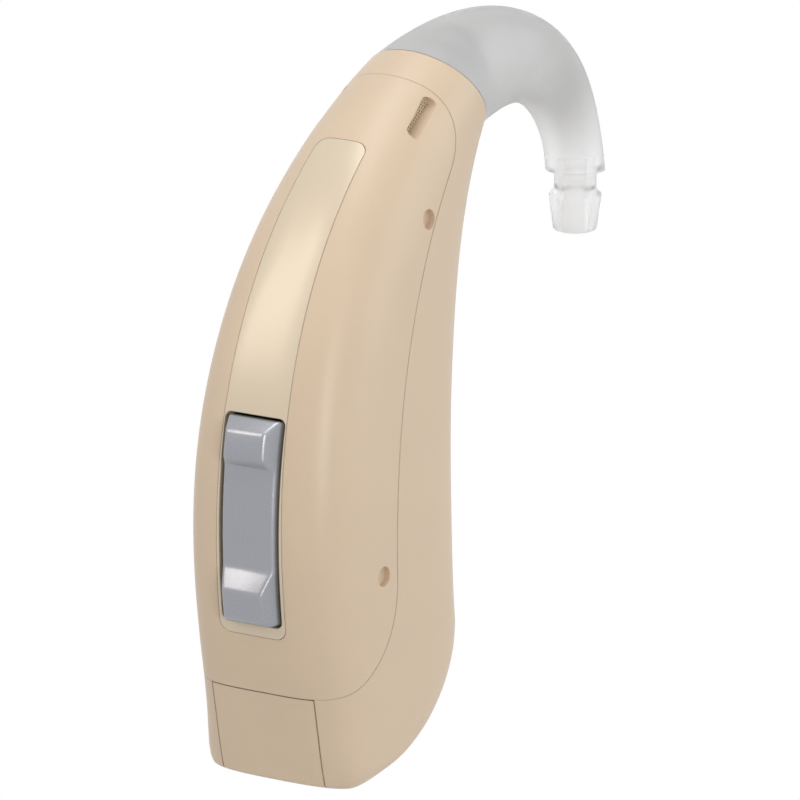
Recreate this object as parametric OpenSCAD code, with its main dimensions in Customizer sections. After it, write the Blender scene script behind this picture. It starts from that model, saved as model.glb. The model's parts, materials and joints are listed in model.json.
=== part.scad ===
// Behind-the-ear hearing aid. Z is up, X runs from the convex spine towards the
// ear side and the sound hook, and Y is across the housing, which is symmetric.

/* [Housing] */
// Widest width of the housing
housing_w = 9.4; // [9.2:0.1:10.4]
// Depth from the spine to the ear side at the heel height
housing_d = 12.75; // [12.4:0.05:14]
// Distance from the spine to the axis of the battery
battery_setback = 5.3; // [5.1:0.05:5.6]
// Height at which the two long rails of the housing start
heel_h = 5.35; // [5.25:0.05:5.6]
// Wall thickness of the mouldings
wall = 0.75; // [0.6:0.05:0.9]
// Gap that shows as the seam between two mouldings
seam_gap = 0.08; // [0.04:0.01:0.12]
// Distance from the battery axis to the middle of the hook seat
seat_reach = 9.6; // [9.2:0.1:10.2]
// Height of the middle of the hook seat
seat_h = 32.65; // [32:0.05:34]
// Length of the hook seat in the side view
seat_d = 6; // [5.8:0.1:6.4]
// Tilt of the hook seat down towards the ear
seat_lean = 52.4; // [48:0.2:56]
// Backward lean of the spine where it leaves the heel
spine_lean = 12.2; // [9:0.2:14]
// Slope of the spine where it reaches the hook seat
spine_arrival = 24.9; // [20:0.1:30]
// Backward lean of the ear side where it leaves the heel
ear_lean = 10.7; // [8:0.1:13]
// Slope of the ear side where it reaches the hook seat
ear_arrival = 57.3; // [52:0.1:62]
// Height of the chamfer under the spine
toe_h = 0.35; // [0.25:0.05:0.5]
// Run of the chamfer under the spine
toe_run = 1.9; // [1.5:0.05:2.2]
// Height of the curve round the heel
heel_curve_h = 6.25; // [6:0.05:6.5]
// Depth of the curve round the heel
heel_curve_d = 9.15; // [8.9:0.05:9.6]
// Radius of the lower edges along the two cheeks
cheek_edge_r = 1.3; // [1:0.1:1.6]

/* [Back cover] */
// Height at which the seam crosses the spine above the battery door
door_top_h = 5.02; // [4.8:0.02:5.1]
// Radius of the lower corner of the seam in the side view
seam_low_r = 5.4; // [4:0.1:6]
// Radius of the upper corner of the seam in the side view
seam_high_r = 3.4; // [2.8:0.1:4]
// Width of the control plate beside the rocker
plate_w = 3.9; // [3.8:0.05:4.3]
// Width of the control plate at its upper end
plate_top_w = 2.9; // [2.5:0.05:3.4]
// Thickness of the control plate
plate_t = 0.4; // [0.3:0.05:0.5]
// Gap round the control plate
plate_gap = 0.06; // [0.04:0.01:0.1]
// Corner radius of the control plate
plate_r = 0.6; // [0.4:0.1:1]

/* [Rocker] */
// Width of the volume rocker
rocker_w = 3.3; // [3.2:0.05:3.4]
// Height of the two pads of the rocker above the shell
pad_rise = 0.8; // [0.5:0.05:1]
// Height of the waist of the rocker above the shell
waist_rise = 0.15; // [0.05:0.05:0.3]
// Depth of the rocker below the shell
rocker_depth = 0.8; // [0.7:0.05:0.9]
// Gap between the rocker and the control plate
rocker_gap = 0.13; // [0.1:0.01:0.16]
// Travel of the rocker each way, in degrees
rocker_travel = 4; // [3:0.5:5]
// Diameter of the rocker's pin
rocker_pin_d = 0.6; // [0.5:0.05:0.7]

/* [Microphone ports] */
// Length of the slot over the front microphone
port_l = 2.6; // [2.2:0.05:2.8]
// Width of the slot over the front microphone, in the side view
port_w = 0.58; // [0.5:0.02:0.7]
// Thickness of the perforated screen in the slot
screen_t = 0.15; // [0.1:0.05:0.2]

/* [Battery] */
// Diameter of the size 13 zinc-air cell
battery_d = 7.9; // [7.8:0.05:7.9]
// Thickness of the size 13 zinc-air cell
battery_t = 5.4; // [5.2:0.05:5.4]
// Height of the axis of the cell
battery_h = 4.9; // [4.85:0.05:5]
// Diameter of the cell's cap
cap_d = 6.1; // [5.8:0.1:6.3]
// Height of the cap and its seal above their seat
cap_t = 0.55; // [0.4:0.05:0.7]

/* [Battery door] */
// Width of the battery door
door_w = 6; // [5.8:0.05:6.1]
// Gap at either side of the battery door
door_gap = 0.1; // [0.06:0.01:0.14]
// Distance from the battery axis to the hinge pin
hinge_reach = 3.9; // [3.85:0.05:4]
// Height of the hinge pin
hinge_h = 2.6; // [2.55:0.05:2.7]
// Diameter of the knuckle round the hinge pin
knuckle_d = 1.9; // [1.8:0.05:1.95]
// Diameter of the hinge pin
hinge_pin_d = 0.8; // [0.7:0.05:0.9]
// Opening angle of the battery door
door_travel = 80; // [60:5:90]

/* [Cross pins] */
// Diameter of the two pins that hold the module in the housing
cross_pin_d = 1; // [0.9:0.05:1.1]
// Depth of the dimple over each end of a cross pin
pin_dimple = 0.3; // [0.2:0.05:0.4]

/* [Hook] */
// Distance from the hook seat to the middle of the tubing nipple
hook_reach = 13.93; // [13:0.1:15]
// Drop from the hook seat to the shoulder of the nipple
hook_drop = 6.58; // [6:0.1:7.4]
// Diameter of the hook at its shoulder
shoulder_d = 3.1; // [2.9:0.05:3.4]
// Slope of the hook's outer line where it leaves the seat
hook_rise = 18.7; // [14:0.1:22]
// Slope of the hook's inner line where it leaves the seat
hook_inner_rise = 13.4; // [10:0.1:18]
// Diameter of the sound bore
bore_d = 1.25; // [1.1:0.05:1.4]
// Diameter of the nipple's neck
neck_d = 2.2; // [2.1:0.05:2.4]
// Length of the nipple's neck
neck_l = 1.05; // [0.8:0.05:1.3]
// Largest diameter of the nipple's barb
barb_d = 2.74; // [2.6:0.02:2.9]
// Diameter of the nipple's end
nipple_end_d = 2.16; // [2:0.02:2.3]
// Length of the nipple's barb
barb_l = 2.15; // [1.8:0.05:2.5]
// Slope of the nozzle that the hook is pushed on
nozzle_slope = 30; // [26:1:34]
// Diameter of the nozzle
nozzle_d = 3; // [2.8:0.05:3.2]
// Length of the nozzle outside the seat
nozzle_l = 2.4; // [2:0.1:2.8]
// Radial running clearance of the hook on its nozzle
nozzle_gap = 0.05; // [0.02:0.01:0.09]
// Diameter of the acoustic damper in the hook
damper_d = 1.7; // [1.5:0.05:1.8]
// Length of the acoustic damper
damper_l = 0.9; // [0.7:0.05:1.1]

/* [Module] */
// Width of the circuit board
board_w = 5.3; // [5:0.1:5.5]
// Length of the circuit board
board_l = 9.2; // [8.8:0.1:9.4]
// Thickness of the circuit board
board_t = 0.4; // [0.3:0.05:0.5]
// Width of the moulded frame that carries the module
frame_w = 4.6; // [4.2:0.1:4.8]
// Thickness of the moulded frame
frame_t = 0.6; // [0.5:0.05:0.7]
// Length of the receiver
receiver_l = 7.9; // [7.5:0.1:8]
// Width of the receiver
receiver_w = 4.1; // [3.9:0.1:4.2]
// Thickness of the receiver
receiver_t = 2.9; // [2.7:0.1:3]
// Wall of the rubber boot round the receiver
boot_t = 0.35; // [0.25:0.05:0.4]
// Outside diameter of the tube from the receiver to the nozzle
sound_tube_d = 1.9; // [1.7:0.1:2]
// Length and width of each microphone
microphone_l = 3; // [2.8:0.1:3.2]
// Thickness of each microphone
microphone_t = 1.3; // [1.1:0.1:1.5]
// Diameter of the telecoil
telecoil_d = 1.8; // [1.6:0.1:1.9]
// Length of the telecoil
telecoil_l = 5; // [4.6:0.1:5.4]

/* [Hidden] */

// Small clearance that keeps two faces of one body from crossing
fit = 0.02;
// How far a cutter runs past what it cuts
overrun = 1;

// Half widths of the housing from heel to seat, as shares of half the widest width
width_shares = [1, 1.006, 0.936, 0.834, 0.7085];
// Exponents of the rounded cross-sections from heel to seat
section_exponents = [4.2, 4, 3.4, 2.6, 2.05];
// The sections grow rounder towards the base, below this height and by this much
round_h = 2.4;
round_loss = 1.6;
// Handles of the two rails, as shares of the straight line from heel to seat
spine_handle_shares = [0.506, 0.318];
ear_handle_shares = [0.297, 0.28];
// Handles of the hook's outer and inner lines, as shares of the hook's reach
hook_outer_handle_shares = [0.677, 0.607];
hook_inner_handle_shares = [0.424, 0.322];
// Lean of the hook's lines where they meet the shoulder
shoulder_lean = 8;
// Heights of the sections below the rails, as shares of the heel height
heel_section_shares = [0, 0.012, 0.035, 0.0654, 0.12, 0.2, 0.32, 0.46, 0.62, 0.8];
rail_steps = 24;
ring_points = 40;

// Rails of the housing in the side view
function along(angle, length) = [cos(angle), sin(angle)] * length;
function bezier(p, t) = pow(1 - t, 3) * p[0] + 3 * pow(1 - t, 2) * t * p[1]
    + 3 * (1 - t) * t * t * p[2] + pow(t, 3) * p[3];
function bezier_slope(p, t) = 3 * pow(1 - t, 2) * (p[1] - p[0]) + 6 * (1 - t) * t * (p[2] - p[1])
    + 3 * t * t * (p[3] - p[2]);
function unit(v) = v / norm(v);
function mix(a, b, share) = a + (b - a) * share;
function turned(v) = [-v[1], v[0]];

seat_mid = [seat_reach, seat_h];
seat_back = seat_mid - along(-seat_lean, seat_d / 2);
seat_front = seat_mid + along(-seat_lean, seat_d / 2);
spine_foot = [-battery_setback, heel_h];
ear_foot = [housing_d - battery_setback, heel_h];
spine_chord = norm(seat_back - spine_foot);
ear_chord = norm(seat_front - ear_foot);
spine_rail = [spine_foot,
    spine_foot + along(90 + spine_lean, spine_chord * spine_handle_shares[0]),
    seat_back - along(spine_arrival, spine_chord * spine_handle_shares[1]),
    seat_back];
ear_rail = [ear_foot,
    ear_foot + along(90 + ear_lean, ear_chord * ear_handle_shares[0]),
    seat_front - along(ear_arrival, ear_chord * ear_handle_shares[1]),
    seat_front];

// Smooth values between evenly spaced stations
function station(list, i) = i < 0 ? 2 * list[0] - list[1]
    : i > len(list) - 1 ? 2 * list[len(list) - 1] - list[len(list) - 2] : list[i];
function spread(list, t) = let (x = min(max(t, 0), 1) * (len(list) - 1), i = min(floor(x), len(list) - 2),
    f = x - i, a = station(list, i - 1), b = list[i], c = list[i + 1], d = station(list, i + 2))
    (2 * b + (c - a) * f + (2 * a - 5 * b + 4 * c - d) * f * f + (3 * b - a - 3 * c + d) * pow(f, 3)) / 2;

// Sections are numbered by s: -1 at the base, 0 at the heel height and 1 at the hook seat
// The curve of the heel ends on the ear side, a little behind the rail there
heel_inset = 0.2;
heel_rise = 0.45;
// Below this height the underside runs straight to the toe
heel_toe_h = 0.65;
heel_start = housing_d - battery_setback - heel_inset - heel_curve_d;
function heel_share(z) = min(1, z / heel_toe_h)
    * sqrt(max(0, 1 - pow(max(0, heel_curve_h + heel_rise - max(z, heel_toe_h)) / heel_curve_h, 2)));
function in_heel(p) = [min(p[0], p[1] < heel_curve_h + heel_rise ? heel_start + heel_curve_d * heel_share(p[1])
    : p[0]), p[1]];
function spine_at(s) = s >= 0 ? bezier(spine_rail, s)
    : let (z = heel_h * (1 + s))
      [spine_foot[0] + (heel_h - z) * tan(spine_lean) + edge_loss(z / toe_h, 1) * toe_run, z];
function ear_at(s) = in_heel(s >= 0 ? bezier(ear_rail, s)
    : let (z = heel_h * (1 + s)) [ear_foot[0] + (heel_h - z) * tan(ear_lean), z]);
function edge_loss(z, r) = z < r ? r - sqrt(r * r - pow(r - z, 2)) : 0;
function half_w(s) = housing_w / 2 * spread(width_shares, s)
    - (s < 0 ? edge_loss(heel_h * (1 + s), cheek_edge_r) : 0);
function exponent(s) = spread(section_exponents, s)
    - round_loss * pow(max(0, 1 - heel_h * (1 + s) / round_h), 2);
function at(s, share) = mix(spine_at(s), ear_at(s), share);
function depth_at(s) = norm(ear_at(s) - spine_at(s));
function across(s) = unit(ear_at(s) - spine_at(s));
function spine_out(s) = turned(unit(bezier_slope(spine_rail, s)));
function off_spine(s, rise) = bezier(spine_rail, s) + spine_out(s) * rise;

housing_sections = concat([for (share = heel_section_shares) share - 1],
    [for (i = [0:rail_steps]) i / rail_steps]);

// Ring of a rounded section, drawn in by a wall
function rounded(angle, n) = [sign(cos(angle)) * pow(abs(cos(angle)), 2 / n),
    sign(sin(angle)) * pow(abs(sin(angle)), 2 / n)];
function section_ring(s, inset, count) = let (a = spine_at(s) + across(s) * inset,
    b = ear_at(s) - across(s) * inset, middle = (a + b) / 2, reach = (b - a) / 2)
    [for (i = [0:count - 1]) let (r = rounded(360 * i / count, exponent(s)), p = middle + reach * r[0])
        [p[0], (half_w(s) - inset) * r[1], p[1]]];

// Closed skin over a list of rings, each turning right-handed about the way the list runs
function middle_of(ring) = [for (axis = [0:2]) [for (p = ring) p[axis]] * [for (p = ring) 1] / len(ring)];
module skin(rings) {
    count = len(rings[0]);
    last = len(rings) - 1;
    ends = (last + 1) * count;
    points = concat([for (ring = rings) each ring], [middle_of(rings[0]), middle_of(rings[last])]);
    sides = [for (i = [0:last - 1]) for (j = [0:count - 1]) let (k = (j + 1) % count)
        each [[i * count + j, (i + 1) * count + j, i * count + k],
              [i * count + k, (i + 1) * count + j, (i + 1) * count + k]]];
    caps = [for (j = [0:count - 1]) let (k = (j + 1) % count)
        each [[j, k, ends], [last * count + k, last * count + j, ends + 1]]];
    polyhedron(points, concat(sides, caps));
}

// Side outline drawn out across Y, half of the width each way
module across_y(width) rotate([90, 0, 0]) linear_extrude(height = width, center = true) children();

// Cylinder on the Y axis through a point of the side view
module y_cylinder(p, d, width, shift = 0) translate([p[0], shift, p[1]]) rotate([90, 0, 0])
    cylinder(d = d, h = width, center = true, $fn = 48);

// Straight bar between two points of the side view
module bar(a, b, thickness) translate(a) rotate(atan2(b[1] - a[1], b[0] - a[0]))
    translate([0, -thickness / 2]) square([norm(b - a), thickness]);

// Outer and inner lines of the hook in the side view
hook_steps = 26;
hook_points = 28;
tip = seat_mid + [hook_reach, -hook_drop];
hook_outer = [seat_back, seat_back + along(hook_rise, hook_reach * hook_outer_handle_shares[0]),
    tip + [shoulder_d / 2, 0] + along(90 + shoulder_lean, hook_reach * hook_outer_handle_shares[1]),
    tip + [shoulder_d / 2, 0]];
hook_inner = [seat_front, seat_front + along(hook_inner_rise, hook_reach * hook_inner_handle_shares[0]),
    tip - [shoulder_d / 2, 0] + along(90 + shoulder_lean, hook_reach * hook_inner_handle_shares[1]),
    tip - [shoulder_d / 2, 0]];

// The origin lies under the middle of the whole object
outline_low_x = min([for (s = housing_sections) spine_at(s)[0]]);
function hook_ring_x(t) = max(bezier(hook_outer, t)[0], bezier(hook_inner, t)[0]);
outline_high_x = max([for (i = [0:hook_steps]) hook_ring_x(i / hook_steps)]);
module place() translate([-(outline_low_x + outline_high_x) / 2, 0, 0]) children();

module housing_solid() skin([for (s = housing_sections) section_ring(s, 0, ring_points)]);

// Hollow for the module, from above the battery to below the hook seat
cavity_start = 0.05;
cavity_end = 0.92;
cavity_steps = 18;
cavity_points = 24;
module cavity() skin([for (i = [0:cavity_steps])
    section_ring(mix(cavity_start, cavity_end, i / cavity_steps), wall, cavity_points)]);

// Side outline of the back cover, between the spine and the seam
seam_share = 0.46;
seam_end = 0.935;
seam_start = door_top_h / heel_h - 1;
seam_steps = 36;
function corner_loss(d, r) = edge_loss(d, r);
function seam_depth(s) = seam_share * depth_at(s)
    - corner_loss(norm(at(s, seam_share) - at(seam_start, seam_share)), seam_low_r)
    - corner_loss(norm(spine_at(s) - spine_at(seam_end)), seam_high_r);
function seam_s(i) = mix(seam_start, seam_end, (1 - cos(180 * i / seam_steps)) / 2);
function seam_point(s, shift) = spine_at(s) + across(s) * max(seam_depth(s) + shift, 0);
module cover_outline(shift) polygon(concat(
    [for (i = [0:seam_steps]) seam_point(seam_s(i), shift)],
    [for (i = [seam_steps:-1:0]) spine_at(seam_s(i)) - across(seam_s(i)) * (housing_d / 2)]));

// Side outlines of the battery bay: the cell at rest, its swing and the door's slot
battery_axis = [0, battery_h];
hinge_axis = [hinge_reach, hinge_h];
bay_gap = 0.18;
swing_r = norm(battery_axis - hinge_axis) + battery_d / 2 + bay_gap;
swing_start = atan2(battery_h - hinge_h, -hinge_reach);
swing_end = 300;
slot_w = door_w + 2 * door_gap;
module swing_outline() polygon(concat([hinge_axis],
    [for (i = [0:24]) hinge_axis + along(mix(swing_start, swing_end, i / 24), swing_r)]));
module bay_outline() {
    translate(battery_axis) circle(d = battery_d + 2 * bay_gap, $fn = 64);
    translate(hinge_axis) circle(d = knuckle_d + 2 * door_gap, $fn = 48);
    swing_outline();
}
module door_outline(gap) {
    translate([-housing_d, -overrun]) square([housing_d + hinge_reach, door_top_h + overrun - gap]);
}

// Ribbon that follows the spine, for the control plate and the openings round it
plate_start = 0.057;
plate_end = 0.785;
opening_start = 0.07;
opening_end = 0.332;
ribbon_steps = 20;
function spine_speed(s) = norm(bezier_slope(spine_rail, s));
function ribbon_s(a, b, i) = let (x = i / ribbon_steps) mix(a, b, (1 - cos(180 * x)) / 2);
function ribbon_w(low, high, x) = mix(low, high, pow(max(x, 0), 1.5));
function end_loss(s, a, b, r) = let (d = min((s - a) * spine_speed(a), (b - s) * spine_speed(b)))
    corner_loss(max(d, 0), r);
module ribbon(a, b, low_w, high_w, rise, depth, r) skin([for (i = [0:ribbon_steps])
    let (s = ribbon_s(a, b, i), x = (s - plate_start) / (plate_end - plate_start),
        w = ribbon_w(low_w, high_w, x) / 2 - end_loss(s, a, b, r),
        high = off_spine(s, rise), low = off_spine(s, -depth))
    [[high[0], -w, high[1]], [low[0], -w, low[1]], [low[0], w, low[1]], [high[0], w, high[1]]]]);
function shift_s(s, d) = s + d / spine_speed(s);
plate_pocket = plate_t + fit;
module plate_space() ribbon(shift_s(plate_start, -plate_gap), shift_s(plate_end, plate_gap),
    plate_w + 2 * plate_gap, plate_top_w + 2 * plate_gap, overrun, plate_pocket, plate_r);
opening_w = rocker_w + 2 * rocker_gap;
opening_r = 0.35;
module rocker_space() ribbon(opening_start, opening_end, opening_w, opening_w, overrun,
    rocker_depth + rocker_room, opening_r);
// Room behind the rocker for its travel
rocker_room = 0.6;

// Slots over the front microphone, one on each shoulder of the housing, cut straight in from the side
function skin_point(s, angle) = let (a = spine_at(s), b = ear_at(s), r = rounded(angle, exponent(s)),
    p = (a + b) / 2 + (b - a) / 2 * r[0]) [p[0], half_w(s) * r[1], p[1]];
port_s = 0.8725;
port_angle = 134;
port_step = 0.005;
port_mid = skin_point(port_s, port_angle);
port_run = skin_point(port_s + port_step, port_angle) - skin_point(port_s - port_step, port_angle);
port_floor = 1.4;
screen_shift = 0.44;
module obround(length, width) {
    square([length - width, width], center = true);
    for (side = [-1, 1]) translate([side * (length - width) / 2, 0]) circle(d = width, $fn = 24);
}
// Holds a flat outline between two distances from the middle, on one side
module on_port(side, from, to) translate([port_mid[0], side > 0 ? to : -from, port_mid[2]])
    rotate([90, 0, 0]) linear_extrude(height = to - from) rotate(atan2(port_run[2], port_run[0])) children();
module port_space(side) on_port(side, port_floor, half_w(0)) obround(port_l, port_w);

// Pins that hold the module
lower_pin = at(0.144, 0.37);
upper_pin = at(0.716, 0.4);
function pin_half_w(s) = half_w(s) - pin_dimple;
lower_pin_w = 2 * pin_half_w(0.128);
upper_pin_w = 2 * pin_half_w(0.7) - 0.2;
module pin_spaces() {
    y_cylinder(lower_pin, cross_pin_d, housing_w + overrun);
    y_cylinder(upper_pin, cross_pin_d, housing_w + overrun);
}

// Nozzle axis, from the seat outwards
nozzle_out = along(nozzle_slope, 1);
module on_nozzle() translate([seat_mid[0], 0, seat_mid[1]]) rotate([0, 90 - nozzle_slope, 0]) children();
nozzle_root = 2.4;
flange_d = 4;
flange_t = 0.5;
nozzle_flange_at = nozzle_root - flange_t;

module back_cover() color("#d4bba0") place() difference() {
    intersection() {
        housing_solid();
        across_y(housing_w + overrun) cover_outline(-seam_gap / 2);
    }
    cavity();
    across_y(slot_w) bay_outline();
    plate_space();
    rocker_space();
    switch_space();
    for (side = [-1, 1]) port_space(side);
    pin_spaces();
}

module front_housing() color("#cfb79c") place() difference() {
    housing_solid();
    across_y(housing_w + overrun) cover_outline(seam_gap / 2);
    cavity();
    across_y(slot_w) {
        bay_outline();
        door_outline(0);
    }
    y_cylinder(hinge_axis, hinge_pin_d, hinge_pin_l);
    on_nozzle() translate([0, 0, -nozzle_root]) cylinder(d = nozzle_d, h = nozzle_root + overrun, $fn = 48);
    nozzle_flange_space();
    program_space();
}

module nozzle_flange_space() on_nozzle() translate([0, 0, -nozzle_root])
    cylinder(d = flange_d, h = flange_t, $fn = 48);

// Room for the switch carrier behind the rocker
module switch_space() across_y(carrier_w + 4 * fit) translate(rocker_pivot) rotate(rocker_angle) {
    translate([carrier_floor - fit, -carrier_l / 2 - fit]) square([2 * carrier_deep, carrier_l + 2 * fit]);
    translate([-ear_d / 2 - fit, -ear_d / 2 - fit]) square([carrier_deep, ear_d + 2 * fit]);
}

module control_plate() color("#e6d3b8") place() difference() {
    intersection() {
        housing_solid();
        ribbon(plate_start, plate_end, plate_w, plate_top_w, overrun, plate_t, plate_r);
    }
    ribbon(opening_start, opening_end, opening_w, opening_w, overrun, plate_t + overrun, opening_r);
}

// Rocker: side outline along the spine, with a raised pad at each end
rocker_s = 0.19;
pivot_depth = 0.95;
rocker_pivot = off_spine(rocker_s, -pivot_depth);
rocker_angle = atan2(-spine_out(rocker_s)[1], -spine_out(rocker_s)[0]);
rocker_start = shift_s(opening_start, rocker_gap);
rocker_end = shift_s(opening_end, -rocker_gap);
// Rise from the waist to a pad, as shares of the rocker's length from its lower end
rocker_profile = [[0, 0.3], [0.0144, 0.66], [0.0385, 0.88], [0.139, 1], [0.154, 0.985], [0.168, 0.88],
    [0.245, 0.06], [0.264, 0], [0.38, 0], [0.5, 0], [0.62, 0], [0.726, 0], [0.74, 0.08], [0.7885, 0.94],
    [0.803, 1], [0.86, 1], [0.9135, 1], [0.928, 0.97], [0.9856, 0.1], [1, -0.15]];
// The sides lean in above this depth, by this much for each unit of height
rocker_shoulder = 0.25;
rocker_side_lean = 0.5;
function rocker_ring(row) = let (s = mix(rocker_start, rocker_end, row[0]), rise = mix(waist_rise, pad_rise, row[1]),
    wide = rocker_w / 2, narrow = wide - rocker_side_lean * (rise + rocker_shoulder),
    high = off_spine(s, rise), middle = off_spine(s, -rocker_shoulder), low = off_spine(s, -rocker_depth))
    [[high[0], -narrow, high[1]], [middle[0], -wide, middle[1]], [low[0], -wide, low[1]],
     [low[0], wide, low[1]], [middle[0], wide, middle[1]], [high[0], narrow, high[1]]];
boss_d = 1.2;
plunger_d = 0.7;
plunger_reach = 1.8;
dome_gap = 0.22;
module in_rocker() translate([rocker_pivot[0], 0, rocker_pivot[1]]) rotate([0, -rocker_angle, 0]) children();
module rocker() color("#9ba0a6") place() difference() {
    union() {
        skin([for (row = rocker_profile) rocker_ring(row)]);
        y_cylinder(rocker_pivot, boss_d, rocker_w);
        for (end = [-1, 1]) in_rocker() translate([-pivot_depth + rocker_depth - overrun / 4, 0, end * plunger_reach])
            rotate([0, 90, 0]) cylinder(d = plunger_d, h = plunger_l + overrun / 4, $fn = 24);
    }
    y_cylinder(rocker_pivot, rocker_pin_d + 2 * fit, rocker_w + overrun);
}
module rocker_pin() color("#c8ccd0") place() y_cylinder(rocker_pivot, rocker_pin_d, carrier_w);

// Switch carrier: a floor with two ears for the rocker's pin, and two snap domes
carrier_w = 4.6;
carrier_l = 5;
carrier_floor = 0.5;
carrier_deep = 1.3;
ear_w = 0.5;
ear_d = 1;
dome_d = 1.4;
dome_t = 0.3;
plunger_l = pivot_depth - rocker_depth + carrier_deep - carrier_floor - dome_t - dome_gap - 0.15;
module switch_carrier() color("#3c3e42") place() difference() {
    union() {
        in_rocker() translate([carrier_deep - carrier_floor, -carrier_w / 2, -carrier_l / 2])
            cube([carrier_floor, carrier_w, carrier_l]);
        for (side = [-1, 1]) {
            in_rocker() translate([0, side * (carrier_w - ear_w) / 2 - ear_w / 2, -ear_d / 2])
                cube([carrier_deep, ear_w, ear_d]);
            y_cylinder(rocker_pivot, ear_d, ear_w, side * (carrier_w - ear_w) / 2);
        }
    }
    y_cylinder(rocker_pivot, rocker_pin_d, carrier_w + overrun);
}
module switch_domes() color("#d9c48a") place() for (end = [-1, 1])
    in_rocker() translate([carrier_deep - carrier_floor - dome_t, 0, end * plunger_reach])
        rotate([0, 90, 0]) cylinder(d1 = dome_d * 0.6, d2 = dome_d, h = dome_t, $fn = 32);

// Perforated screens in the microphone slots, with three rows of holes
hole_d = 0.1;
hole_pitch = 0.17;
hole_columns = 6;
module microphone_screen(side) color("#b9a88f") place()
    on_port(side, port_mid[1] - screen_shift - screen_t, port_mid[1] - screen_shift) difference() {
        obround(port_l - 2 * fit, port_w - 2 * fit);
        for (row = [-1:1]) for (i = [-hole_columns:hole_columns])
            translate([(i + abs(row) / 2 - 1 / 4) * hole_pitch, row * hole_pitch]) circle(d = hole_d, $fn = 6);
    }
module microphone_screen_left() microphone_screen(1);
module microphone_screen_right() microphone_screen(-1);

// Microphones under the spine, each in a rubber boot open towards its inlet
front_microphone_s = 0.78;
rear_microphone_s = 0.55;
microphone_room = 0.8;
microphone_depth = wall + microphone_t / 2 + microphone_room;
microphone_boot_t = 0.25;
module under_spine(s) {
    p = off_spine(s, -microphone_depth);
    translate([p[0], 0, p[1]]) rotate([0, -atan2(-spine_out(s)[1], -spine_out(s)[0]), 0]) children();
}
inlet_d = 0.8;
inlet_h = 0.2;
module microphone(s) under_spine(s) {
    cube([microphone_t, microphone_l, microphone_l], center = true);
    translate([-microphone_t / 2 - inlet_h, 0, 0]) rotate([0, 90, 0]) cylinder(d = inlet_d, h = inlet_h * 2, $fn = 24);
}
module microphone_boot(s) under_spine(s) difference() {
    translate([microphone_boot_t / 2, 0, 0])
        cube([microphone_t + microphone_boot_t, microphone_l + 2 * microphone_boot_t, microphone_l * 0.6],
            center = true);
    cube([microphone_t, microphone_l, microphone_l], center = true);
    translate([-microphone_t, 0, 0]) cube([microphone_t, microphone_l - 2 * microphone_boot_t, microphone_l],
        center = true);
}
module front_microphone() color("#c9c6bd") place() microphone(front_microphone_s);
module rear_microphone() color("#c9c6bd") place() microphone(rear_microphone_s);
module front_microphone_boot() color("#3a3a3c") place() microphone_boot(front_microphone_s);
module rear_microphone_boot() color("#3a3a3c") place() microphone_boot(rear_microphone_s);

// Circuit board behind the switch carrier
board_front = carrier_deep;
board_low = -2.4;
module on_board(height) in_rocker() translate([board_front, 0, board_low + height]) children();
module circuit_board() color("#2f6b46") place() on_board(0) translate([0, -board_w / 2, 0])
    cube([board_t, board_w, board_l]);
processor_l = 4;
processor_t = 0.9;
processor_low = 1.4;
module signal_processor() color("#26282b") place() on_board(processor_low) translate([board_t, -processor_l / 2, 0])
    cube([processor_t, processor_l, processor_l]);
memory_l = 2.4;
memory_t = 0.7;
module memory_chip() color("#26282b") place() on_board(processor_low + processor_l + 0.6)
    translate([board_t, -memory_l / 2, 0]) cube([memory_t, memory_l, memory_l * 0.8]);

// Inner frame: bulkhead over the battery, a wall behind the board and an arm to each microphone
frame_gap = 2.8;
function board_point(depth, height) = rocker_pivot
    + along(rocker_angle, board_front + depth) + along(rocker_angle + 90, board_low + height);
frame_low = board_point(board_t + frame_gap, 0.2);
frame_high = board_point(board_t + frame_gap, board_l);
bulkhead_h = battery_h + battery_d / 2 + 0.8;
bulkhead_gap = 0.25;
bulkhead_back = [spine_at(0.09)[0] + rocker_depth + rocker_room + bulkhead_gap, bulkhead_h];
bulkhead_front = [ear_at(0.15)[0] - wall - bulkhead_gap, bulkhead_h];
function microphone_seat(s) = off_spine(s, -microphone_depth - microphone_t / 2 - microphone_boot_t - frame_t / 2);
pin_boss_d = 1.6;
module frame_outline() {
    bar(bulkhead_back, bulkhead_front, frame_t);
    bar([frame_low[0], bulkhead_h], frame_low, frame_t);
    bar(frame_low, frame_high, frame_t);
    bar(frame_high, microphone_seat(rear_microphone_s), frame_t);
    bar(microphone_seat(rear_microphone_s), upper_pin, frame_t);
    bar(upper_pin, microphone_seat(front_microphone_s), frame_t);
    translate(microphone_seat(rear_microphone_s)) circle(d = frame_t, $fn = 24);
    translate(frame_high) circle(d = frame_t, $fn = 24);
    translate(upper_pin) circle(d = pin_boss_d, $fn = 40);
    translate(lower_pin) circle(d = pin_boss_d, $fn = 40);
    bar(lower_pin, [frame_low[0], lower_pin[1]], frame_t);
}
post_d = 0.9;
post_side = board_w / 2 - 0.7;
module frame_posts() for (side = [-1, 1]) for (h = [0.7, board_l - 0.7])
    on_board(h) translate([board_t, side * post_side, 0]) rotate([0, 90, 0])
        cylinder(d = post_d, h = frame_gap, $fn = 24);
module inner_frame() color("#5a5d62") place() difference() {
    union() {
        across_y(frame_w) frame_outline();
        frame_posts();
        receiver_ribs();
    }
    y_cylinder(lower_pin, cross_pin_d, frame_w + overrun);
    y_cylinder(upper_pin, cross_pin_d, frame_w + overrun);
}
module lower_cross_pin() color("#cdb79d") place() y_cylinder(lower_pin, cross_pin_d, lower_pin_w);
module upper_cross_pin() color("#cdb79d") place() y_cylinder(upper_pin, cross_pin_d, upper_pin_w);

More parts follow.
